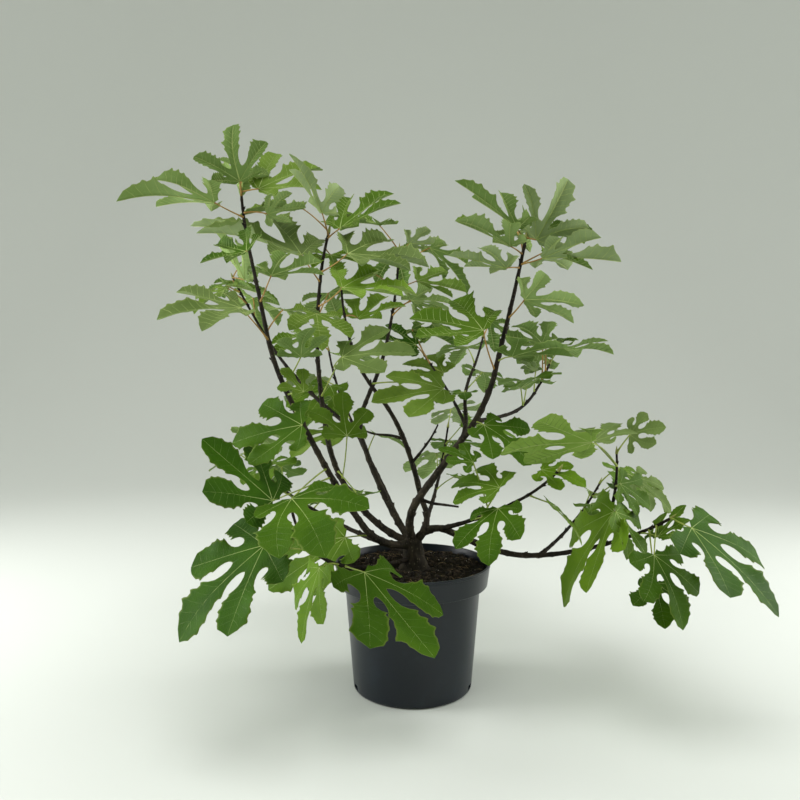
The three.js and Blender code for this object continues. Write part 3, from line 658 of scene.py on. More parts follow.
def closedFaces(rows, columns):
    # quads between rings, and a fan from a centre point over the first ring and under the last
    column = np.arange(columns)
    after = (column + 1) % columns
    last = (rows - 1) * columns
    centre = rows * columns
    start = np.stack([np.full(columns, centre), after, column], -1)
    end = np.stack([np.full(columns, centre + 1), last + column, last + after], -1)
    return [gridFaces(1, rows, columns, closed=True), start, end]


def rounded(corners, radii, arcSteps=5):
    # a profile with each corner replaced by a quadratic curve that starts and ends radius away from it
    corners, path = np.asarray(corners, float), []
    for i, corner in enumerate(corners):
        if radii[i] == 0:
            path.append(corner)
            continue
        back, ahead = unit(np.stack([corners[i - 1] - corner, corners[i + 1] - corner])) * radii[i]
        for t in np.linspace(0, 1, arcSteps):
            path.append(corner + (1 - t) ** 2 * back + t ** 2 * ahead)
    return np.array(path)


pot = {
    "height": 121.7, "footRadius": 57, "neckRadius": 65.2, "bandFootRadius": 72, "rimRadius": 74.8,
    "bandHeight": 20.8, "lip": 2.6, "lipStep": 0.35, "lipSlope": 0.5, "wall": 1.6, "floor": 2.4,
    "rounds": (3.2, 1.0, 1.2, 0.3, 0.5, 0.8, 0.7, 0.8, 0.8, 1.5), "hub": 8, "columns": 144,
    "notchHeadings": (20, 160, 200, -20), "notchSize": (9, 9, 4), "notchFoot": 3.6, "sharpAngle": 32,
}
bandFoot = pot["height"] - pot["bandHeight"]


def potShell():
    # outside from the axis up to the lip, then down the inside back to the axis
    wall, lip = pot["wall"], pot["lip"]
    foot, neck, band, rim = (pot[key] for key in ("footRadius", "neckRadius", "bandFootRadius", "rimRadius"))
    corners = [
        (foot, 0), (neck, bandFoot), (band, bandFoot), (rim - pot["lipStep"], pot["height"] - lip),
        (rim, pot["height"] - lip), (rim, pot["height"]), (rim - wall - pot["lipSlope"], pot["height"]),
        (band - wall, bandFoot + wall), (neck - wall, bandFoot + wall), (foot - wall, pot["floor"]),
    ]
    profile = rounded([(pot["hub"], 0), *corners, (pot["hub"], pot["floor"])], [0, *pot["rounds"], 0])
    rings = revolve(profile[:, :1], profile[:, 1:], pot["columns"])
    points = np.vstack([rings.reshape(-1, 3), [[0, 0, 0], [0, 0, pot["floor"]]]])
    return points, closedFaces(len(profile), pot["columns"])


def cutNotches(piece):
    # four drain slots through the wall just above the floor
    headings = np.array(pot["notchHeadings"])
    axes = np.stack([direction(headings, 90), direction(headings + 90, 90), direction(headings, 0)], 1)
    centres = axes[:, 0] * pot["footRadius"] + [0, 0, pot["notchFoot"] + pot["notchSize"][2] / 2]
    shapes = np.broadcast_to(cubeCorners / 2 * pot["notchSize"], (len(headings), 8, 3))
    points, faces = cubes(centres, shapes, axes)
    boxes = bpy.data.meshes.new("notchCutters")
    boxes.from_pydata((points.reshape(-1, 3) * mm).tolist(), [], faces[0].tolist())
    cutter = linked("notchCutter", boxes)
    cut = piece.modifiers.new("notches", "BOOLEAN")
    cut.operation, cut.solver, cut.object = "DIFFERENCE", "EXACT", cutter
    bpy.context.view_layer.update()
    finished = bpy.data.meshes.new_from_object(piece.evaluated_get(bpy.context.evaluated_depsgraph_get()))
    piece.modifiers.clear()
    piece.data = finished
    finished.name = piece.name
    finished.set_sharp_from_angle(angle=math.radians(pot["sharpAngle"]))
    bpy.data.objects.remove(cutter)


potPiece = makePiece("nurseryPot", *potShell(), [potMaterial], "plastic")
cutNotches(potPiece)
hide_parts("pot")
print("pot made")

compost = {
    "radius": 71.6, "crown": 2.5, "crownRadius": 32, "hollowRadius": 18, "edge": (4, 0.2), "edgeDrop": 1.5,
    "calmEdge": 6, "columns": 180, "ringStep": 1.3, "clearance": 0.3, "hub": 4,
    "shoulder": 3, "eye": 2.0,
    "clodSize": 7.0, "clodRise": 1.5, "fineSize": 2.2, "fineRise": 0.55, "lift": 0.5, "scatter": (17, 69.6),
    "crumbs": 900, "crumbSize": (0.4, 1.9), "grit": 40, "gritSize": (0.25, 0.6), "chipped": (0.6, 1.0),
    "fibres": 90, "fibreHalf": (2.0, 7.0), "fibreBow": 0.45, "fibreLift": 0.25, "fibreRadius": (0.14, 0.36),
    "fibreThinning": 0.6, "fibreRings": 7, "fibreSides": 4,
}


def compostHeight(x, y):
    # the low crown round the trunk, minus the drop at the wall, plus clods of two sizes
    radius, wall = np.hypot(x, y), compost["radius"]
    near, low = compost["edge"]
    crown = np.interp(radius, [0, compost["hollowRadius"], compost["crownRadius"], wall - near, wall],
                      [0, 0, compost["crown"], low, -compost["edgeDrop"]])
    place = np.stack([x, y, np.zeros_like(x)], -1)
    clods = compost["clodRise"] * noise3(place, compost["clodSize"], seed=3)
    fine = compost["fineRise"] * noise3(place, compost["fineSize"], seed=4)
    calm = np.clip((wall - radius) / compost["calmEdge"], 0, 1)
    return soilLevel - compost["clearance"] + crown + (clods + fine) * calm


def compostBody():
    # under and wall follow the pot's inside, the top is the height field on rings
    inner = lambda key: pot[key] - pot["wall"] - 2 * compost["clearance"]
    foot = pot["floor"] + compost["clearance"]
    below = np.array([(compost["hub"], foot), (inner("footRadius"), foot), (inner("neckRadius"), bandFoot),
                      (inner("bandFootRadius"), bandFoot + compost["shoulder"])])
    eye = compost["eye"]
    topRadius = np.append(np.arange(compost["radius"], eye + 1, -compost["ringStep"]), eye)
    under = revolve(below[:, :1], below[:, 1:], compost["columns"])
    top = revolve(topRadius[:, None], 0, compost["columns"]).astype(float)
    top[..., 2] = compostHeight(top[..., 0], top[..., 1])
    rings = np.concatenate([under, top])
    middle = compostHeight(np.zeros(1), np.zeros(1))[0]
    points = np.vstack([rings.reshape(-1, 3), [[0, 0, foot], [0, 0, middle]]])
    return points, closedFaces(len(rings), compost["columns"])


def scattered(count, random):
    # even over the ring between two radii, at the compost's own height
    inner, outer = compost["scatter"]
    radius = np.sqrt(random.uniform(inner ** 2, outer ** 2, count))
    angle = random.uniform(0, 2 * np.pi, count)
    x, y = radius * np.cos(angle), radius * np.sin(angle)
    return np.stack([x, y, compostHeight(x, y)], -1)


def chips(centres, sizes, random):
    # each is a cube's eight corners pushed about, turned by random right-angled axes
    shapes = cubeCorners * random.uniform(*compost["chipped"], (len(centres), 8, 3)) * sizes[:, None]
    first = unit(random.normal(size=(len(centres), 3)))
    second = unit(np.cross(first, random.normal(size=(len(centres), 3))))
    return cubes(centres, shapes, np.stack([first, second, np.cross(first, second)], 1))


def fibres(count, random):
    # short bent threads: a straight way, a sideways bow and a lift, lying on the compost
    rings, sides = compost["fibreRings"], compost["fibreSides"]
    t = np.linspace(-1, 1, rings)[None, :, None]
    middle = scattered(count, random)[:, None] + [0, 0, compost["lift"]]
    heading = random.uniform(0, 360, count)
    way, side = direction(heading, 90)[:, None], direction(heading + 90, 90)[:, None]
    half = random.uniform(*compost["fibreHalf"], (count, 1, 1))
    bow = random.uniform(-compost["fibreBow"], compost["fibreBow"], (count, 1, 1)) * half
    lift = random.uniform(0.0, compost["fibreLift"], (count, 1, 1)) * half
    path = middle + way * half * t + side * bow * (1 - t ** 2) + np.array([0, 0, 1]) * lift * (1 - t ** 2)
    radii = random.uniform(*compost["fibreRadius"], (count, 1))
    radii = radii * (1 - compost["fibreThinning"] * np.abs(t[..., 0]))
    return tubePoints(path, radii, np.tile([0, 0, 1.0], (count, 1)), sides), tubeFaces(count, rings, sides)


random = np.random.default_rng(seed=11)
compostPiece = makePiece("compostBed", *compostBody(), [compostMaterial], "compost")
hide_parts("compost")
crumbPlaces = scattered(compost["crumbs"], random)
crumbSizes = random.uniform(*compost["crumbSize"], (compost["crumbs"], 3))
makePiece("compostCrumbs", *chips(crumbPlaces, crumbSizes, random), [plain["crumbDark"]], "compost")
gritPlaces = scattered(compost["grit"], random) + [0, 0, compost["lift"]]
gritSizes = random.uniform(*compost["gritSize"], (compost["grit"], 3))
makePiece("compostGrit", *chips(gritPlaces, gritSizes, random), [plain["gritPale"]], "compost")
makePiece("compostFibres", *fibres(compost["fibres"], random), [plain["fibrePale"]], "compost")
print("compost made")


wood = {
    "ringStep": 2.2, "sides": 14, "collar": 0.28, "collarReach": 13.0, "nodeGap": 15.0, "nodeStray": 0.25,
    "goldenAngle": 137.5, "nodeWidth": 1.5, "nodeSwell": 0.12, "scarSwell": 0.34, "scarFocus": 4,
    "ridge": 0.09, "ridgeSize": 1.7, "ridgeStretch": 0.7, "pit": 0.06, "pitSize": 1.1,
    "budLength": 2.6, "budRadius": 0.95, "budScale": (0.6, 1.1), "budSunk": 0.9, "budSpread": 0.8,
    "budSides": 5, "firstBud": 12, "budAge": 0.15, "youngRadius": 1.7, "ageSpan": 1.8,
}


def limbNodes(length, random):
    # where leaves once sat: even gaps, each off by up to a quarter, turned by the golden angle
    count = max(2, int(length / wood["nodeGap"]))
    stray = random.uniform(-wood["nodeStray"], wood["nodeStray"], count)
    places = (np.arange(count) + 0.5 + stray) * length / count
    return places, (wood["goldenAngle"] * np.arange(count) + random.uniform(0, 360)) % 360


def barkTube(line, limb, random):
    # taper, plus a collar at the foot, a ring and a one-sided scar at each node, and ridged relief
    length, (thick, thin) = limb["length"], limb["thick"]
    rings = int(length / wood["ringStep"]) + 1
    fraction = np.linspace(0, 1, rings)
    distance = fraction * length
    centres = smoothLine(line, fraction)
    taper = thick + (thin - thick) * fraction
    taper = taper * (1 + wood["collar"] * np.exp(-distance / wood["collarReach"]))
    places, turns = limbNodes(length, random)
    near = np.exp(-((distance[:, None] - places) / wood["nodeWidth"]) ** 2)
    angle = 2 * np.pi * np.arange(wood["sides"]) / wood["sides"]
    facing = np.exp(wood["scarFocus"] * (np.cos(angle[:, None] - np.radians(turns)) - 1))
    scars = wood["scarSwell"] * np.einsum("rn,an->ra", near, facing)
    swell = wood["nodeSwell"] * near.sum(1)[:, None] + scars
    level = direction(np.mean(limb["heads"]) + 90, 90)[None]
    bare = tubePoints(centres[None], taper[None], level, wood["sides"])[0]
    along = bare - wood["ridgeStretch"] * (centres - centres[0])[:, None]
    ridges = wood["ridge"] * noise3(along, wood["ridgeSize"], seed=5)
    pits = wood["pit"] * noise3(bare, wood["pitSize"], seed=6)
    points = tubePoints(centres[None], taper[None], level, wood["sides"], swell + ridges + pits)
    ahead = unit(np.gradient(centres, axis=0))
    row = np.clip(np.round(places / length * (rings - 1)).astype(int), 0, rings - 1)
    outward = unit(np.cross(ahead[row], level[0]))
    turn = np.radians(turns)[:, None]
    out = outward * np.cos(turn) + np.cross(ahead[row], outward) * np.sin(turn)
    feet = centres[row] + out * taper[row][:, None] * wood["budSunk"]
    keep = places > wood["firstBud"]
    return points, taper, feet[keep], unit(wood["budSpread"] * out + ahead[row])[keep]


cone = {
    "rings": (0, 0.3, 0.6, 0.85, 1.0), "lift": 0.12, "full": 1.02, "tip": 0.06, "aside": (0.31, 0.42, 0.85),
}


def cones(feet, ways, lengths, radii, sides):
    # buds: the radius falls as 1 - t^2 along a line that bends upwards a little
    t = np.array(cone["rings"])
    path = feet[:, None] + ways[:, None] * (lengths[:, None] * t)[..., None]
    path[..., 2] += cone["lift"] * lengths[:, None] * t ** 2
    shape = radii[:, None] * np.maximum(cone["full"] - t ** 2, cone["tip"])
    level = unit(np.cross(ways, np.array(cone["aside"])))
    return tubePoints(path, shape, level, sides), tubeFaces(len(feet), len(t), sides)


trunk = {
    "sunk": 2.0, "footRadius": 15.5, "flare": 14.5, "flareHeight": 9, "knee": 12.2, "waist": 10.4, "top": 8,
    "crownHeight": 4, "crownRadius": 5.2, "crownTip": 0.6, "crownRings": (0, 0.3, 0.6, 0.85, 0.97),
    "crownShoulder": 0.8, "columns": 48, "ringStep": 1.1, "toeCount": 3,
    "toes": 2.6, "toeHeight": 6.0, "toeTurn": 0.9, "lump": 1.5, "lumpSize": 8.0, "ridge": 0.55,
    "ridgeSize": 2.1, "ridgeStretch": 0.3, "calmRadius": 6,
}


def trunkBody():
    # radius by height down to the flare, with toes round the foot, lumps and upright ridges
    top = lines["trunk"][-1]
    rise, sunk, flare, crown = top[2] - soilLevel, trunk["sunk"], trunk["flareHeight"], trunk["crownHeight"]
    rings = rise + crown * np.array(trunk["crownRings"])
    height = np.concatenate([np.arange(-sunk, rise, trunk["ringStep"]), rings])
    shoulder = rise + trunk["crownShoulder"] * crown
    keys = ("footRadius", "flare", "knee", "waist", "top", "crownRadius", "crownTip")
    radius = np.interp(height, [-sunk, 0, flare / 2, flare, rise, shoulder, rise + crown],
                       [trunk[key] for key in keys])
    angle = 2 * np.pi * np.arange(trunk["columns"]) / trunk["columns"]
    toes = np.cos(trunk["toeCount"] * angle + trunk["toeTurn"])
    toes = np.exp(-np.maximum(height, 0) / trunk["toeHeight"])[:, None] * toes
    lean = np.stack([np.interp(height, [0, rise], [0, side]) for side in top[:2]], -1)
    ring = np.stack([np.cos(angle), np.sin(angle)], -1)
    flat = lean[:, None] + (radius[:, None] + trunk["toes"] * toes)[..., None] * ring
    level = np.broadcast_to((soilLevel + height)[:, None, None], flat.shape[:2] + (1,))
    body = np.concatenate([flat, level], -1)
    lumps = trunk["lump"] * noise3(body, trunk["lumpSize"], seed=8)
    upright = body * [1, 1, trunk["ridgeStretch"]]
    ridges = trunk["ridge"] * noise3(upright, trunk["ridgeSize"], seed=9)
    calm = np.clip(radius / trunk["calmRadius"], 0, 1)[:, None, None]
    body[..., :2] += (lumps + ridges)[..., None] * ring * calm
    centre = [[0, 0, soilLevel - sunk], [*top[:2], top[2] + crown]]
    return np.vstack([body.reshape(-1, 3), centre]), closedFaces(len(height), trunk["columns"])


random = np.random.default_rng(seed=23)
trunkPoints, trunkFaces = trunkBody()
trunkPiece = makePiece("trunkBark", trunkPoints, trunkFaces, [barkMaterial], "bark",
                       values={"age": np.ones(len(trunkPoints))})
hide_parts("trunk")

boughs = [name for name in limbs if name != "trunk"]
tubes, ages, feet, ways = [], [], [], []
for name in boughs:
    points, taper, budFeet, budWays = barkTube(lines[name], limbs[name], random)
    tubes.append((points, tubeFaces(1, len(taper), wood["sides"])))
    ages.append(np.repeat(np.clip((taper - wood["youngRadius"]) / wood["ageSpan"], 0, 1), wood["sides"]))
    feet.append(budFeet)
    ways.append(budWays)
feet, ways = np.vstack(feet), np.vstack(ways)
scale = random.uniform(*wood["budScale"], len(feet))
tubes.append(cones(feet, ways, wood["budLength"] * scale, wood["budRadius"] * scale, wood["budSides"]))
ages.append(np.full(tubes[-1][0].size // 3, wood["budAge"]))
boughPiece = makePiece("boughBark", *joinParts(tubes), [barkMaterial], "bark",
                       values={"age": np.concatenate(ages)})
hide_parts(*boughs)
print("wood made,", len(feet), "buds")

leafShape = {
    "angles": (0, 38, 82), "lengths": (1.0, 0.78, 0.44), "widths": (0.158, 0.148, 0.116),
    "necks": (0.064, 0.058, 0.056), "cutAngles": (19, 60, 122), "cutDepths": (0.29, 0.24, 0.11),
    "round": 0.045, "swell": (0.1, 0.62), "shoulder": 0.6, "tipPowers": (1.7, 2.9), "tipRound": 0.74,
    "teeth": (0.4, 0.54, 0.68, 0.81, 0.92), "toothRise": 0.07, "toothFall": 0.028, "toothSize": 0.056,
    "toothLeast": 0.35, "toothSpan": (0.1, 0.3), "gutterSpan": (0, 0.5), "waveSpan": (0, 0.3), "tipFrom": 0.3,
    "fold": 0.06, "droop": 0.12, "gutter": 0.16, "tipDroop": 0.2, "wave": 0.02, "waves": 9,
    "waveWidth": 0.17, "bend": 0.06, "thickness": 0.32, "youngHeights": (250, 430), "youngWidth": 0.62,
    "youngGutter": 0.55, "youngFold": 0.14, "youngDepth": 0.8,
    "stations": (-1, -0.62, -0.28, 0, 0.04, 0.1, 0.18, 0.26, 0.33, 0.37, 0.4, 0.425, 0.47, 0.51, 0.54,
                 0.565, 0.615, 0.65, 0.68, 0.705, 0.75, 0.785, 0.81, 0.835, 0.88, 0.92, 0.945, 0.975, 1),
    "columns": (0, 0.45, 0.86, 1), "weldGrid": 1e5,
}
leafSpread = {
    # how far the shape's values stray from leaf to leaf and from lobe to lobe
    "angle": 4, "length": 0.1, "outer": (0.75, 1.15), "width": 0.14, "cutAngle": 3, "cutDepth": 0.14,
    "tip": (-0.25, 1.0), "tooth": (0.1, 1.1), "bigTooth": 0.15, "shift": 0.03, "phase": 6.3,
    "gutter": (0.5, 1.3),
}
halfLobe, halfSide = np.repeat(np.arange(5), 2), np.tile([-1, 1], 5)
leafCount, halfCount = len(leafRows), len(halfSide)


def smooth(value, low, high):
    # 3t^2 - 2t^3 between low and high
    t = np.clip((value - low) / (high - low), 0, 1)
    return t * t * (3 - 2 * t)


def drawLobes(random):
    # each leaf's lobes with their own small changes, then ten half lobes, each with its sinus corner;
    # youth narrows the lobes, deepens the cuts and folds each lobe more
    size, half, cuts = (leafCount, 5), (leafCount, halfCount), (leafCount, 6)
    shape = {key: np.array(value) for key, value in leafShape.items()}
    spread = leafSpread
    stray = lambda part, size: random.uniform(-part, part, size)
    aged = lambda key: 1 + (shape[key] - 1) * youth
    order, sign = np.array([2, 1, 0, 1, 2]), np.array([-1, -1, 0, 1, 1])
    gap, side = np.array([2, 1, 0, 0, 1, 2]), np.array([-1, -1, -1, 1, 1, 1])
    angle = np.radians(shape["angles"][order] * sign + stray(spread["angle"], size) * (sign != 0))
    length = shape["lengths"][order] * np.where(sign, 1 + stray(spread["length"], size), 1)
    length[:, [0, 4]] *= random.uniform(*spread["outer"], (leafCount, 1))
    width = shape["widths"][order] * (1 + stray(spread["width"], size)) * aged("youngWidth")
    neck = shape["necks"][order] * (1 + stray(spread["width"], size))
    cutAngle = np.radians((shape["cutAngles"][gap] + stray(spread["cutAngle"], cuts)) * side)
    cutDepth = shape["cutDepths"][gap] * (1 + stray(spread["cutDepth"], cuts)) * aged("youngDepth")
    lobe, corner = halfLobe, halfLobe + (halfSide > 0)
    turn = cutAngle[:, corner] - angle[:, lobe]
    along, beside = cutDepth[:, corner] * np.cos(turn), cutDepth[:, corner] * np.abs(np.sin(turn))
    bend = random.normal(0, shape["bend"], size)
    tip = random.uniform(*spread["tip"], size) * shape["tipDroop"]
    teeth = half + shape["teeth"].shape
    deepened = lambda: shape["youngGutter"] * youth * random.uniform(*spread["gutter"], size)
    return {
        "angle": angle[:, lobe], "length": length[:, lobe], "width": width[:, lobe], "neck": neck[:, lobe],
        "along": along, "beside": beside, "middle": (along[:, 0::2] + along[:, 1::2])[:, lobe] / 2,
        "bend": bend[:, lobe], "tip": tip[:, lobe], "side": halfSide * np.ones(half),
        "teeth": random.uniform(*spread["tooth"], teeth) + random.exponential(spread["bigTooth"], teeth),
        "shift": stray(spread["shift"], half),
        "blunt": random.uniform(*shape["tipPowers"], size)[:, lobe],
        "wave": random.normal(0, 1, half), "phase": random.uniform(0, spread["phase"], half),
        "gutter": (shape["gutter"] + deepened())[:, lobe],
        "fold": (shape["fold"] + shape["youngFold"] * youth) * np.ones(half),
    }


def halfWidth(lobes, f):
    # the sinus corner fading to the neck, swelling to the shoulder, closing as (1 - t^p)^q, plus teeth that
    # rise slowly and fall fast
    pick = lambda key: lobes[key][..., None]
    shape = leafShape
    neck = pick("neck") + (pick("beside") - pick("neck")) * np.exp(-np.maximum(f, 0) / shape["round"])
    wide = neck + (pick("width") - pick("neck")) * smooth(f, *shape["swell"])
    t = np.clip((f - shape["shoulder"]) / (1 - shape["shoulder"]), 0, 1)
    closing = (1 - t ** pick("blunt")) ** shape["tipRound"]
    away = f[..., None] - np.array(shape["teeth"])
    reach = np.where(away < 0, shape["toothRise"], shape["toothFall"])
    teeth = (np.exp(-(away / reach) ** 2) * lobes["teeth"][:, :, None]).sum(-1) * shape["toothSize"]
    least = shape["toothLeast"]
    teeth = teeth * (least + (1 - least) * pick("length")) * smooth(f, *shape["toothSpan"]) * np.sqrt(closing)
    return np.where(f < 0, pick("beside") * (1 + f), wide * closing + teeth)


def bladePoints(lobes, f, c):
    # f runs from -1 at the joint through 0 at the sinus to 1 at the tip, c from 0 on the midrib to 1 on the
    # margin: place along the lobe and beside it, bent sideways, turned to the lobe's angle, then raised
    pick = lambda key: lobes[key][..., None]
    shape = leafShape
    f, c = np.broadcast_arrays(f, c)
    beyond = np.maximum(f, 0)
    reach = lambda start: start * (1 + np.minimum(f, 0)) + beyond * (pick("length") - start)
    along = (1 - c) * reach(pick("middle")) + c * reach(pick("along"))
    along = along + c * pick("shift") * np.sin(np.pi * beyond)
    width = halfWidth(lobes, f)
    beside = pick("side") * c * width + pick("bend") * pick("length") * beyond ** 2
    u = along * np.cos(pick("angle")) - beside * np.sin(pick("angle"))
    v = along * np.sin(pick("angle")) + beside * np.cos(pick("angle"))
    wave = shape["wave"] * pick("wave") * np.sin(shape["waves"] * f + pick("phase"))
    wave = wave * (c * width / shape["waveWidth"]) ** 2
    rise = (pick("fold") * np.abs(v) - shape["droop"] * (u ** 2 + v ** 2)
            + pick("gutter") * c * width * smooth(f, *shape["gutterSpan"])
            + wave * smooth(f, *shape["waveSpan"])
            - pick("tip") * np.maximum(f - shape["tipFrom"], 0) ** 2 * pick("length"))
    return np.stack([u, v, rise], -1)


def bladeFrames(heading, fall, roll):
    # midrib, left side and upper face of every leaf
    along = direction(heading, 90 + fall)
    level = direction(heading + 90, 90)
    roll = np.radians(roll)[:, None]
    across = level * np.cos(roll) + np.cross(along, level) * np.sin(roll)
    return np.stack([along, across, np.cross(along, across)], 1)


def placed(shape, lift=0.0):
    # plane points times each leaf's size, in its own frame, from its joint
    extra = (slice(None),) + (None,) * (shape.ndim - 2)
    local = shape * sizes[extra + (None,)]
    local[..., 2] += lift
    return joints[extra] + np.einsum("n...k,nkj->n...j", local, frames)


def leafTemplate():
    # welds the ten patches into one sheet: its points, how far out each lies, its triangles and its edge
    rows, columns = len(leafShape["stations"]), len(leafShape["columns"])
    f, c = np.meshgrid(leafShape["stations"], leafShape["columns"], indexing="ij")
    flat = bladePoints(lobes, f.ravel()[None, None], c.ravel()[None, None]).reshape(leafCount, -1, 3)
    keys = np.round(flat[0, :, :2] * leafShape["weldGrid"]).astype(np.int64)
    kept, index = np.unique(keys, axis=0, return_index=True, return_inverse=True)[1:]
    flip = np.repeat(halfSide > 0, (rows - 1) * (columns - 1))
    quads = gridFaces(halfCount, rows, columns)
    quads = np.where(flip[:, None], quads, quads[:, ::-1])
    corners = index.ravel()[np.vstack([quads[:, [0, 1, 2]], quads[:, [0, 2, 3]]])]
    corners = corners[(corners != np.roll(corners, 1, axis=1)).all(1)]
    edges = np.vstack([corners[:, [0, 1]], corners[:, [1, 2]], corners[:, [2, 0]]])
    back, uses = np.unique(np.sort(edges, axis=1), axis=0, return_inverse=True, return_counts=True)[1:]
    outward = np.tile(np.where(f < 0, 0, c).ravel(), halfCount)[kept]
    return flat[:, kept], outward, corners, edges[uses[back.ravel()] == 1]


random = np.random.default_rng(seed=5)
attach, (stalkHeading, stalkRise, stalkLength) = leafRows[:, :3], leafRows[:, 3:6].T
sizes, heading, fall, roll = leafRows[:, 6:].T
frames = bladeFrames(heading, fall, roll)
joints = attach + direction(stalkHeading, 90 - stalkRise) * stalkLength[:, None]
youth = smooth(joints[:, 2:], *leafShape["youngHeights"])
lobes = drawLobes(random)
sheet, sheetOutward, sheetFaces, sheetRim = leafTemplate()
upper = placed(sheet, leafShape["thickness"] / 2)
lower = placed(sheet, -leafShape["thickness"] / 2)
sheetSize = sheet.shape[1]
leafShell = np.vstack([sheetFaces, sheetFaces[:, ::-1] + sheetSize])
shellSides = np.repeat([0, 1], len(sheetFaces))
leafRim = np.hstack([sheetRim[:, ::-1], sheetRim + sheetSize])
tones = np.array(leafTones)
for tone in sorted(set(leafTones)):
    chosen = np.flatnonzero(tones == tone)
    start = 2 * sheetSize * np.arange(len(chosen))[:, None, None]
    triangles, quads = (start + leafShell).reshape(-1, 3), (start + leafRim).reshape(-1, 4)
    slots = np.concatenate([np.tile(shellSides, len(chosen)), np.ones(len(quads), int)])
    piece = makePiece("leaves" + tone.title(), np.concatenate([upper[chosen], lower[chosen]], axis=1),
                      [triangles, quads], leafMaterials[tone], "foliage", slots,
                      {"margin": np.tile(sheetOutward, 2 * len(chosen))})
    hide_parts(*sorted({leafMass[i] for i in chosen}))
    print("leaves", tone, len(chosen), "with", len(triangles) + 2 * len(quads), "triangles")

veinLook = {
    "rib": (0.5, 0.18), "ribParts": (0.7, 0.9, 1.0, 0.9, 0.7), "ribFor": 70, "youngRib": 0.5,
    "ribRows": 14, "ribEnd": 0.97, "ribRaise": (0.3, 0.2), "ribDepth": (1.0, 0.12),
    "side": (0.3, 0.13), "places": (0.06, 0.18, 0.3, 0.42, 0.54, 0.66, 0.77), "slant": 0.12, "bend": 0.2,
    "sideRows": 4, "sideEnd": 0.94, "sideRaise": (0.3, 0.17), "sideDepth": (0.9, 0.14),
}


def ribTubes(path, halfWidths, raised, depth):
    # a diamond section along each line on a blade: beside, above and below by the given amounts
    ahead = unit(np.gradient(path, axis=-2))
    up = np.broadcast_to(frames[:, 2][:, None, None], path.shape)
    beside = unit(np.cross(up, ahead))
    over = np.cross(ahead, beside)
    wide = np.broadcast_to(halfWidths, path.shape[:3])[..., None]
    above, below = wide * raised[0] + raised[1], wide * depth[0] + depth[1]
    return path[..., None, :] + np.stack([beside * wide, over * above, -beside * wide, -over * below], -2)


def ribs():
    # one rib down each lobe, from the joint to just short of the tip, thicker on young leaves
    t = np.linspace(0, 1, veinLook["ribRows"])
    ribLobes = {key: lobes[key][:, 0::2] for key in lobes}
    path = placed(bladePoints(ribLobes, ((1 + veinLook["ribEnd"]) * t - 1)[None, None], 0.0))
    foot, tip = veinLook["rib"]
    wide = (foot + (tip - foot) * t) * (sizes / veinLook["ribFor"])[:, None, None] ** 0.5
    wide = wide * (1 + veinLook["youngRib"] * youth[..., None]) * np.array(veinLook["ribParts"])[:, None]
    tubes = ribTubes(path, wide, veinLook["ribRaise"], veinLook["ribDepth"])
    return joinParts([(tubes, tubeFaces(leafCount * 5, len(t), 4))])


def sideVeins(chosen):
    # veins that leave the rib and slant along to the margin, both sides of every lobe
    c = np.linspace(0, veinLook["sideEnd"], veinLook["sideRows"])
    foot, tip = veinLook["side"]
    parts = []
    for place in veinLook["places"]:
        f = place + veinLook["slant"] * c * (1 + veinLook["bend"] - veinLook["bend"] * c)
        path = placed(bladePoints(lobes, f[None, None], c[None, None]))
        tubes = ribTubes(path, foot + (tip - foot) * c, veinLook["sideRaise"], veinLook["sideDepth"])
        parts.append((tubes[chosen], tubeFaces(len(chosen) * halfCount, len(c), 4)))
    return joinParts(parts)


stalkLook = {
    "foot": 0.8, "tip": 0.55, "arch": 0.1, "sag": (-0.4, 1.0), "stray": 0.03, "swellReach": 2.5,
    "footSwell": 0.6, "tipSwell": 0.35, "aside": (0.2, 0.3, 1.0), "rings": 9, "sides": 6,
}
highFrom = 330  # leaves whose blades start above this have amber stalks and pale side veins
high, low = np.flatnonzero(joints[:, 2] > highFrom), np.flatnonzero(joints[:, 2] <= highFrom)
makePiece("leafRibs", *ribs(), [plain["veinPale"]], "foliage")
makePiece("leafSideVeinsHigh", *sideVeins(high), [plain["veinPale"]], "foliage")
makePiece("leafSideVeinsLow", *sideVeins(low), [plain["veinFaint"]], "foliage")
print("veins made")


def stalks(chosen):
    # a quadratic curve from the stem to the joint, its middle raised or lowered a little, radius falling
    look = stalkLook
    t = np.linspace(0, 1, look["rings"])[None, :, None]
    foot, joint = stalkFeet[chosen], joints[chosen]
    span = np.linalg.norm(joint - foot, axis=1, keepdims=True)
    sag = random.uniform(*look["sag"], (len(chosen), 1)) * look["arch"] * span * [0, 0, 1]
    middle = (foot + joint) / 2 + sag + random.normal(0, look["stray"], (len(chosen), 3)) * span
    path = (1 - t) ** 2 * foot[:, None] + 2 * t * (1 - t) * middle[:, None] + t ** 2 * joint[:, None]
    taper = look["foot"] + (look["tip"] - look["foot"]) * t[..., 0]
    near = lambda part: np.exp(-part * span / look["swellReach"])
    swollen = 1 + look["footSwell"] * near(t[..., 0]) + look["tipSwell"] * near(1 - t[..., 0])
    level = unit(np.cross(joint - foot, np.array(look["aside"])))
    rings = tubePoints(path, taper * swollen, level, look["sides"])
    return rings, tubeFaces(len(chosen), look["rings"], look["sides"])


makePiece("stalksAmber", *stalks(high), [plain["stalkAmber"]], "foliage")
makePiece("stalksGreen", *stalks(low), [plain["stalkGreen"]], "foliage")

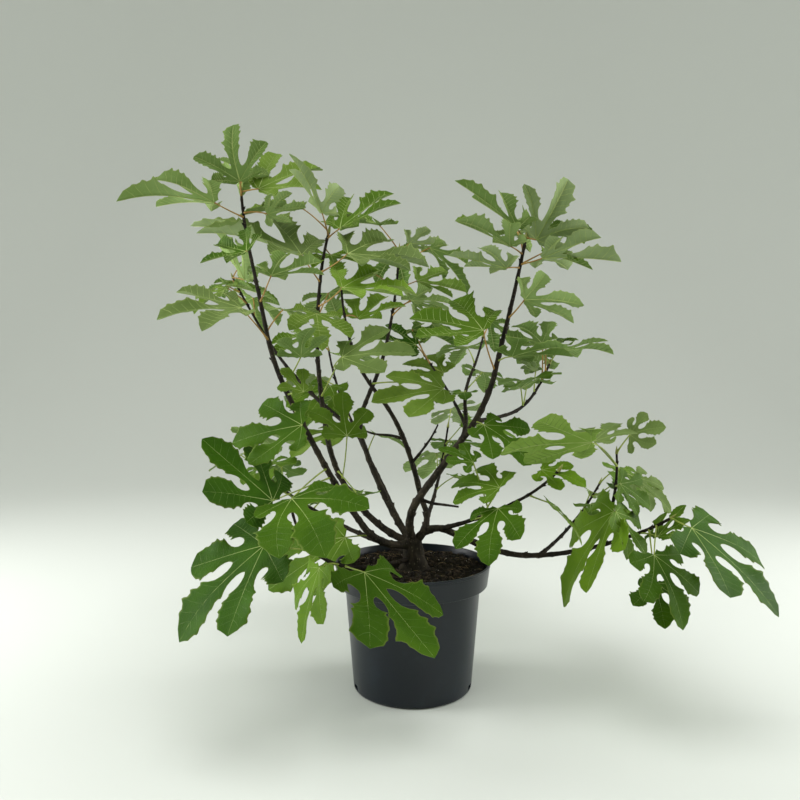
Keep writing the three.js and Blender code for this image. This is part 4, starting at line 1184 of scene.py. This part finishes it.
shootTip = {"length": (6, 9.5), "radius": (1.3, 1.8), "lift": 2.0, "sides": 8}
leafyLimbs = {mass["limb"] for mass in masses.values() if "start" in mass}
tipLines = np.array([lines[name] for name in limbs if name in leafyLimbs])
tipWays = unit(tipLines[:, -1] - tipLines[:, -2] + [0, 0, shootTip["lift"]])
tipLengths = random.uniform(*shootTip["length"], len(tipLines))
tipRadii = random.uniform(*shootTip["radius"], len(tipLines))
makePiece("shootTips", *cones(tipLines[:, -1] - tipWays, tipWays, tipLengths, tipRadii, shootTip["sides"]),
          [plain["budGreen"]], "foliage")
print("stalks and tips made")

room = {
    "discs": (0.2, 0.5, 0.9), "flat": 1.3, "curve": 1.3, "arcRows": 14, "wall": 3.2, "drop": 0.0003,
    "columns": 96, "paper": (208, 212, 206), "world": (1.0, 0.99, 0.96), "worldStrength": 0.64,
}
lamps = [
    # name, place, aim, width, height, power, in metres and watts
    ("top", (-0.1, -0.6, 2.1), (0, 0.1, 0.25), 1.3, 1.1, 21.0),
    ("left", (-1.15, -0.02, 0.52), (0, 0, 0.12), 0.6, 0.9, 13.0),
    ("right", (1.15, 0.08, 0.52), (0, 0, 0.12), 0.6, 0.9, 11.0),
]
camera = {"place": (-0.0122, -0.764, 0.323), "pitch": 3.376, "lens": 36.0, "sensor": 36.0, "nearest": 0.01}


def backdrop():
    # a round paper sweep, in metres: flat floor a hair below the pot, a quarter circle, then an upright wall
    turn = np.linspace(0, math.pi / 2, room["arcRows"])
    outside = room["flat"] + room["curve"]
    radius = np.array([*room["discs"], *(room["flat"] + room["curve"] * np.sin(turn)), outside])
    height = np.array([0, 0, 0, *(room["curve"] * (1 - np.cos(turn))), room["wall"]]) - room["drop"]
    rings = revolve(radius[:, None], height[:, None], room["columns"])
    walls = gridFaces(1, len(radius), room["columns"], closed=True)[:, ::-1]
    mesh = bpy.data.meshes.new("floor")
    mesh.from_pydata(rings.reshape(-1, 3).tolist(), [], walls.tolist() + [list(range(room["columns"]))])
    mesh.shade_smooth()
    paper = Finish("floorPaper", Base_Color=colour(*room["paper"]), Roughness=0.9, Specular_IOR_Level=0.1)
    mesh.materials.append(paper.material)
    return linked("floor", mesh)


def lamp(name, place, aim, width, height, power):
    # a rectangle of light at its place, turned to its aim and unseen by the camera
    light = bpy.data.lights.new(name, "AREA")
    light.shape, light.size, light.size_y, light.energy = "RECTANGLE", width, height, power
    stand = linked(name, light)
    stand.location = place
    stand.visible_camera = False
    aimed = mathutils.Vector(aim) - mathutils.Vector(place)
    stand.rotation_euler = aimed.to_track_quat("-Z", "Y").to_euler()
    return stand


backdrop()
[lamp(*row) for row in lamps]
world = bpy.data.worlds.new("studio")
world.use_nodes = True
background = world.node_tree.nodes["Background"]
background.inputs["Color"].default_value = (*room["world"], 1)
background.inputs["Strength"].default_value = room["worldStrength"]
bpy.context.scene.world = world
bpy.context.scene.view_settings.view_transform = "Standard"

lens = bpy.data.cameras.new("camera")
lens.lens, lens.sensor_width, lens.clip_start = camera["lens"], camera["sensor"], camera["nearest"]
viewer = linked("camera", lens)
viewer.location = camera["place"]
viewer.rotation_euler = (math.radians(90 - camera["pitch"]), 0, 0)
bpy.context.scene.camera = viewer
print("stage made")

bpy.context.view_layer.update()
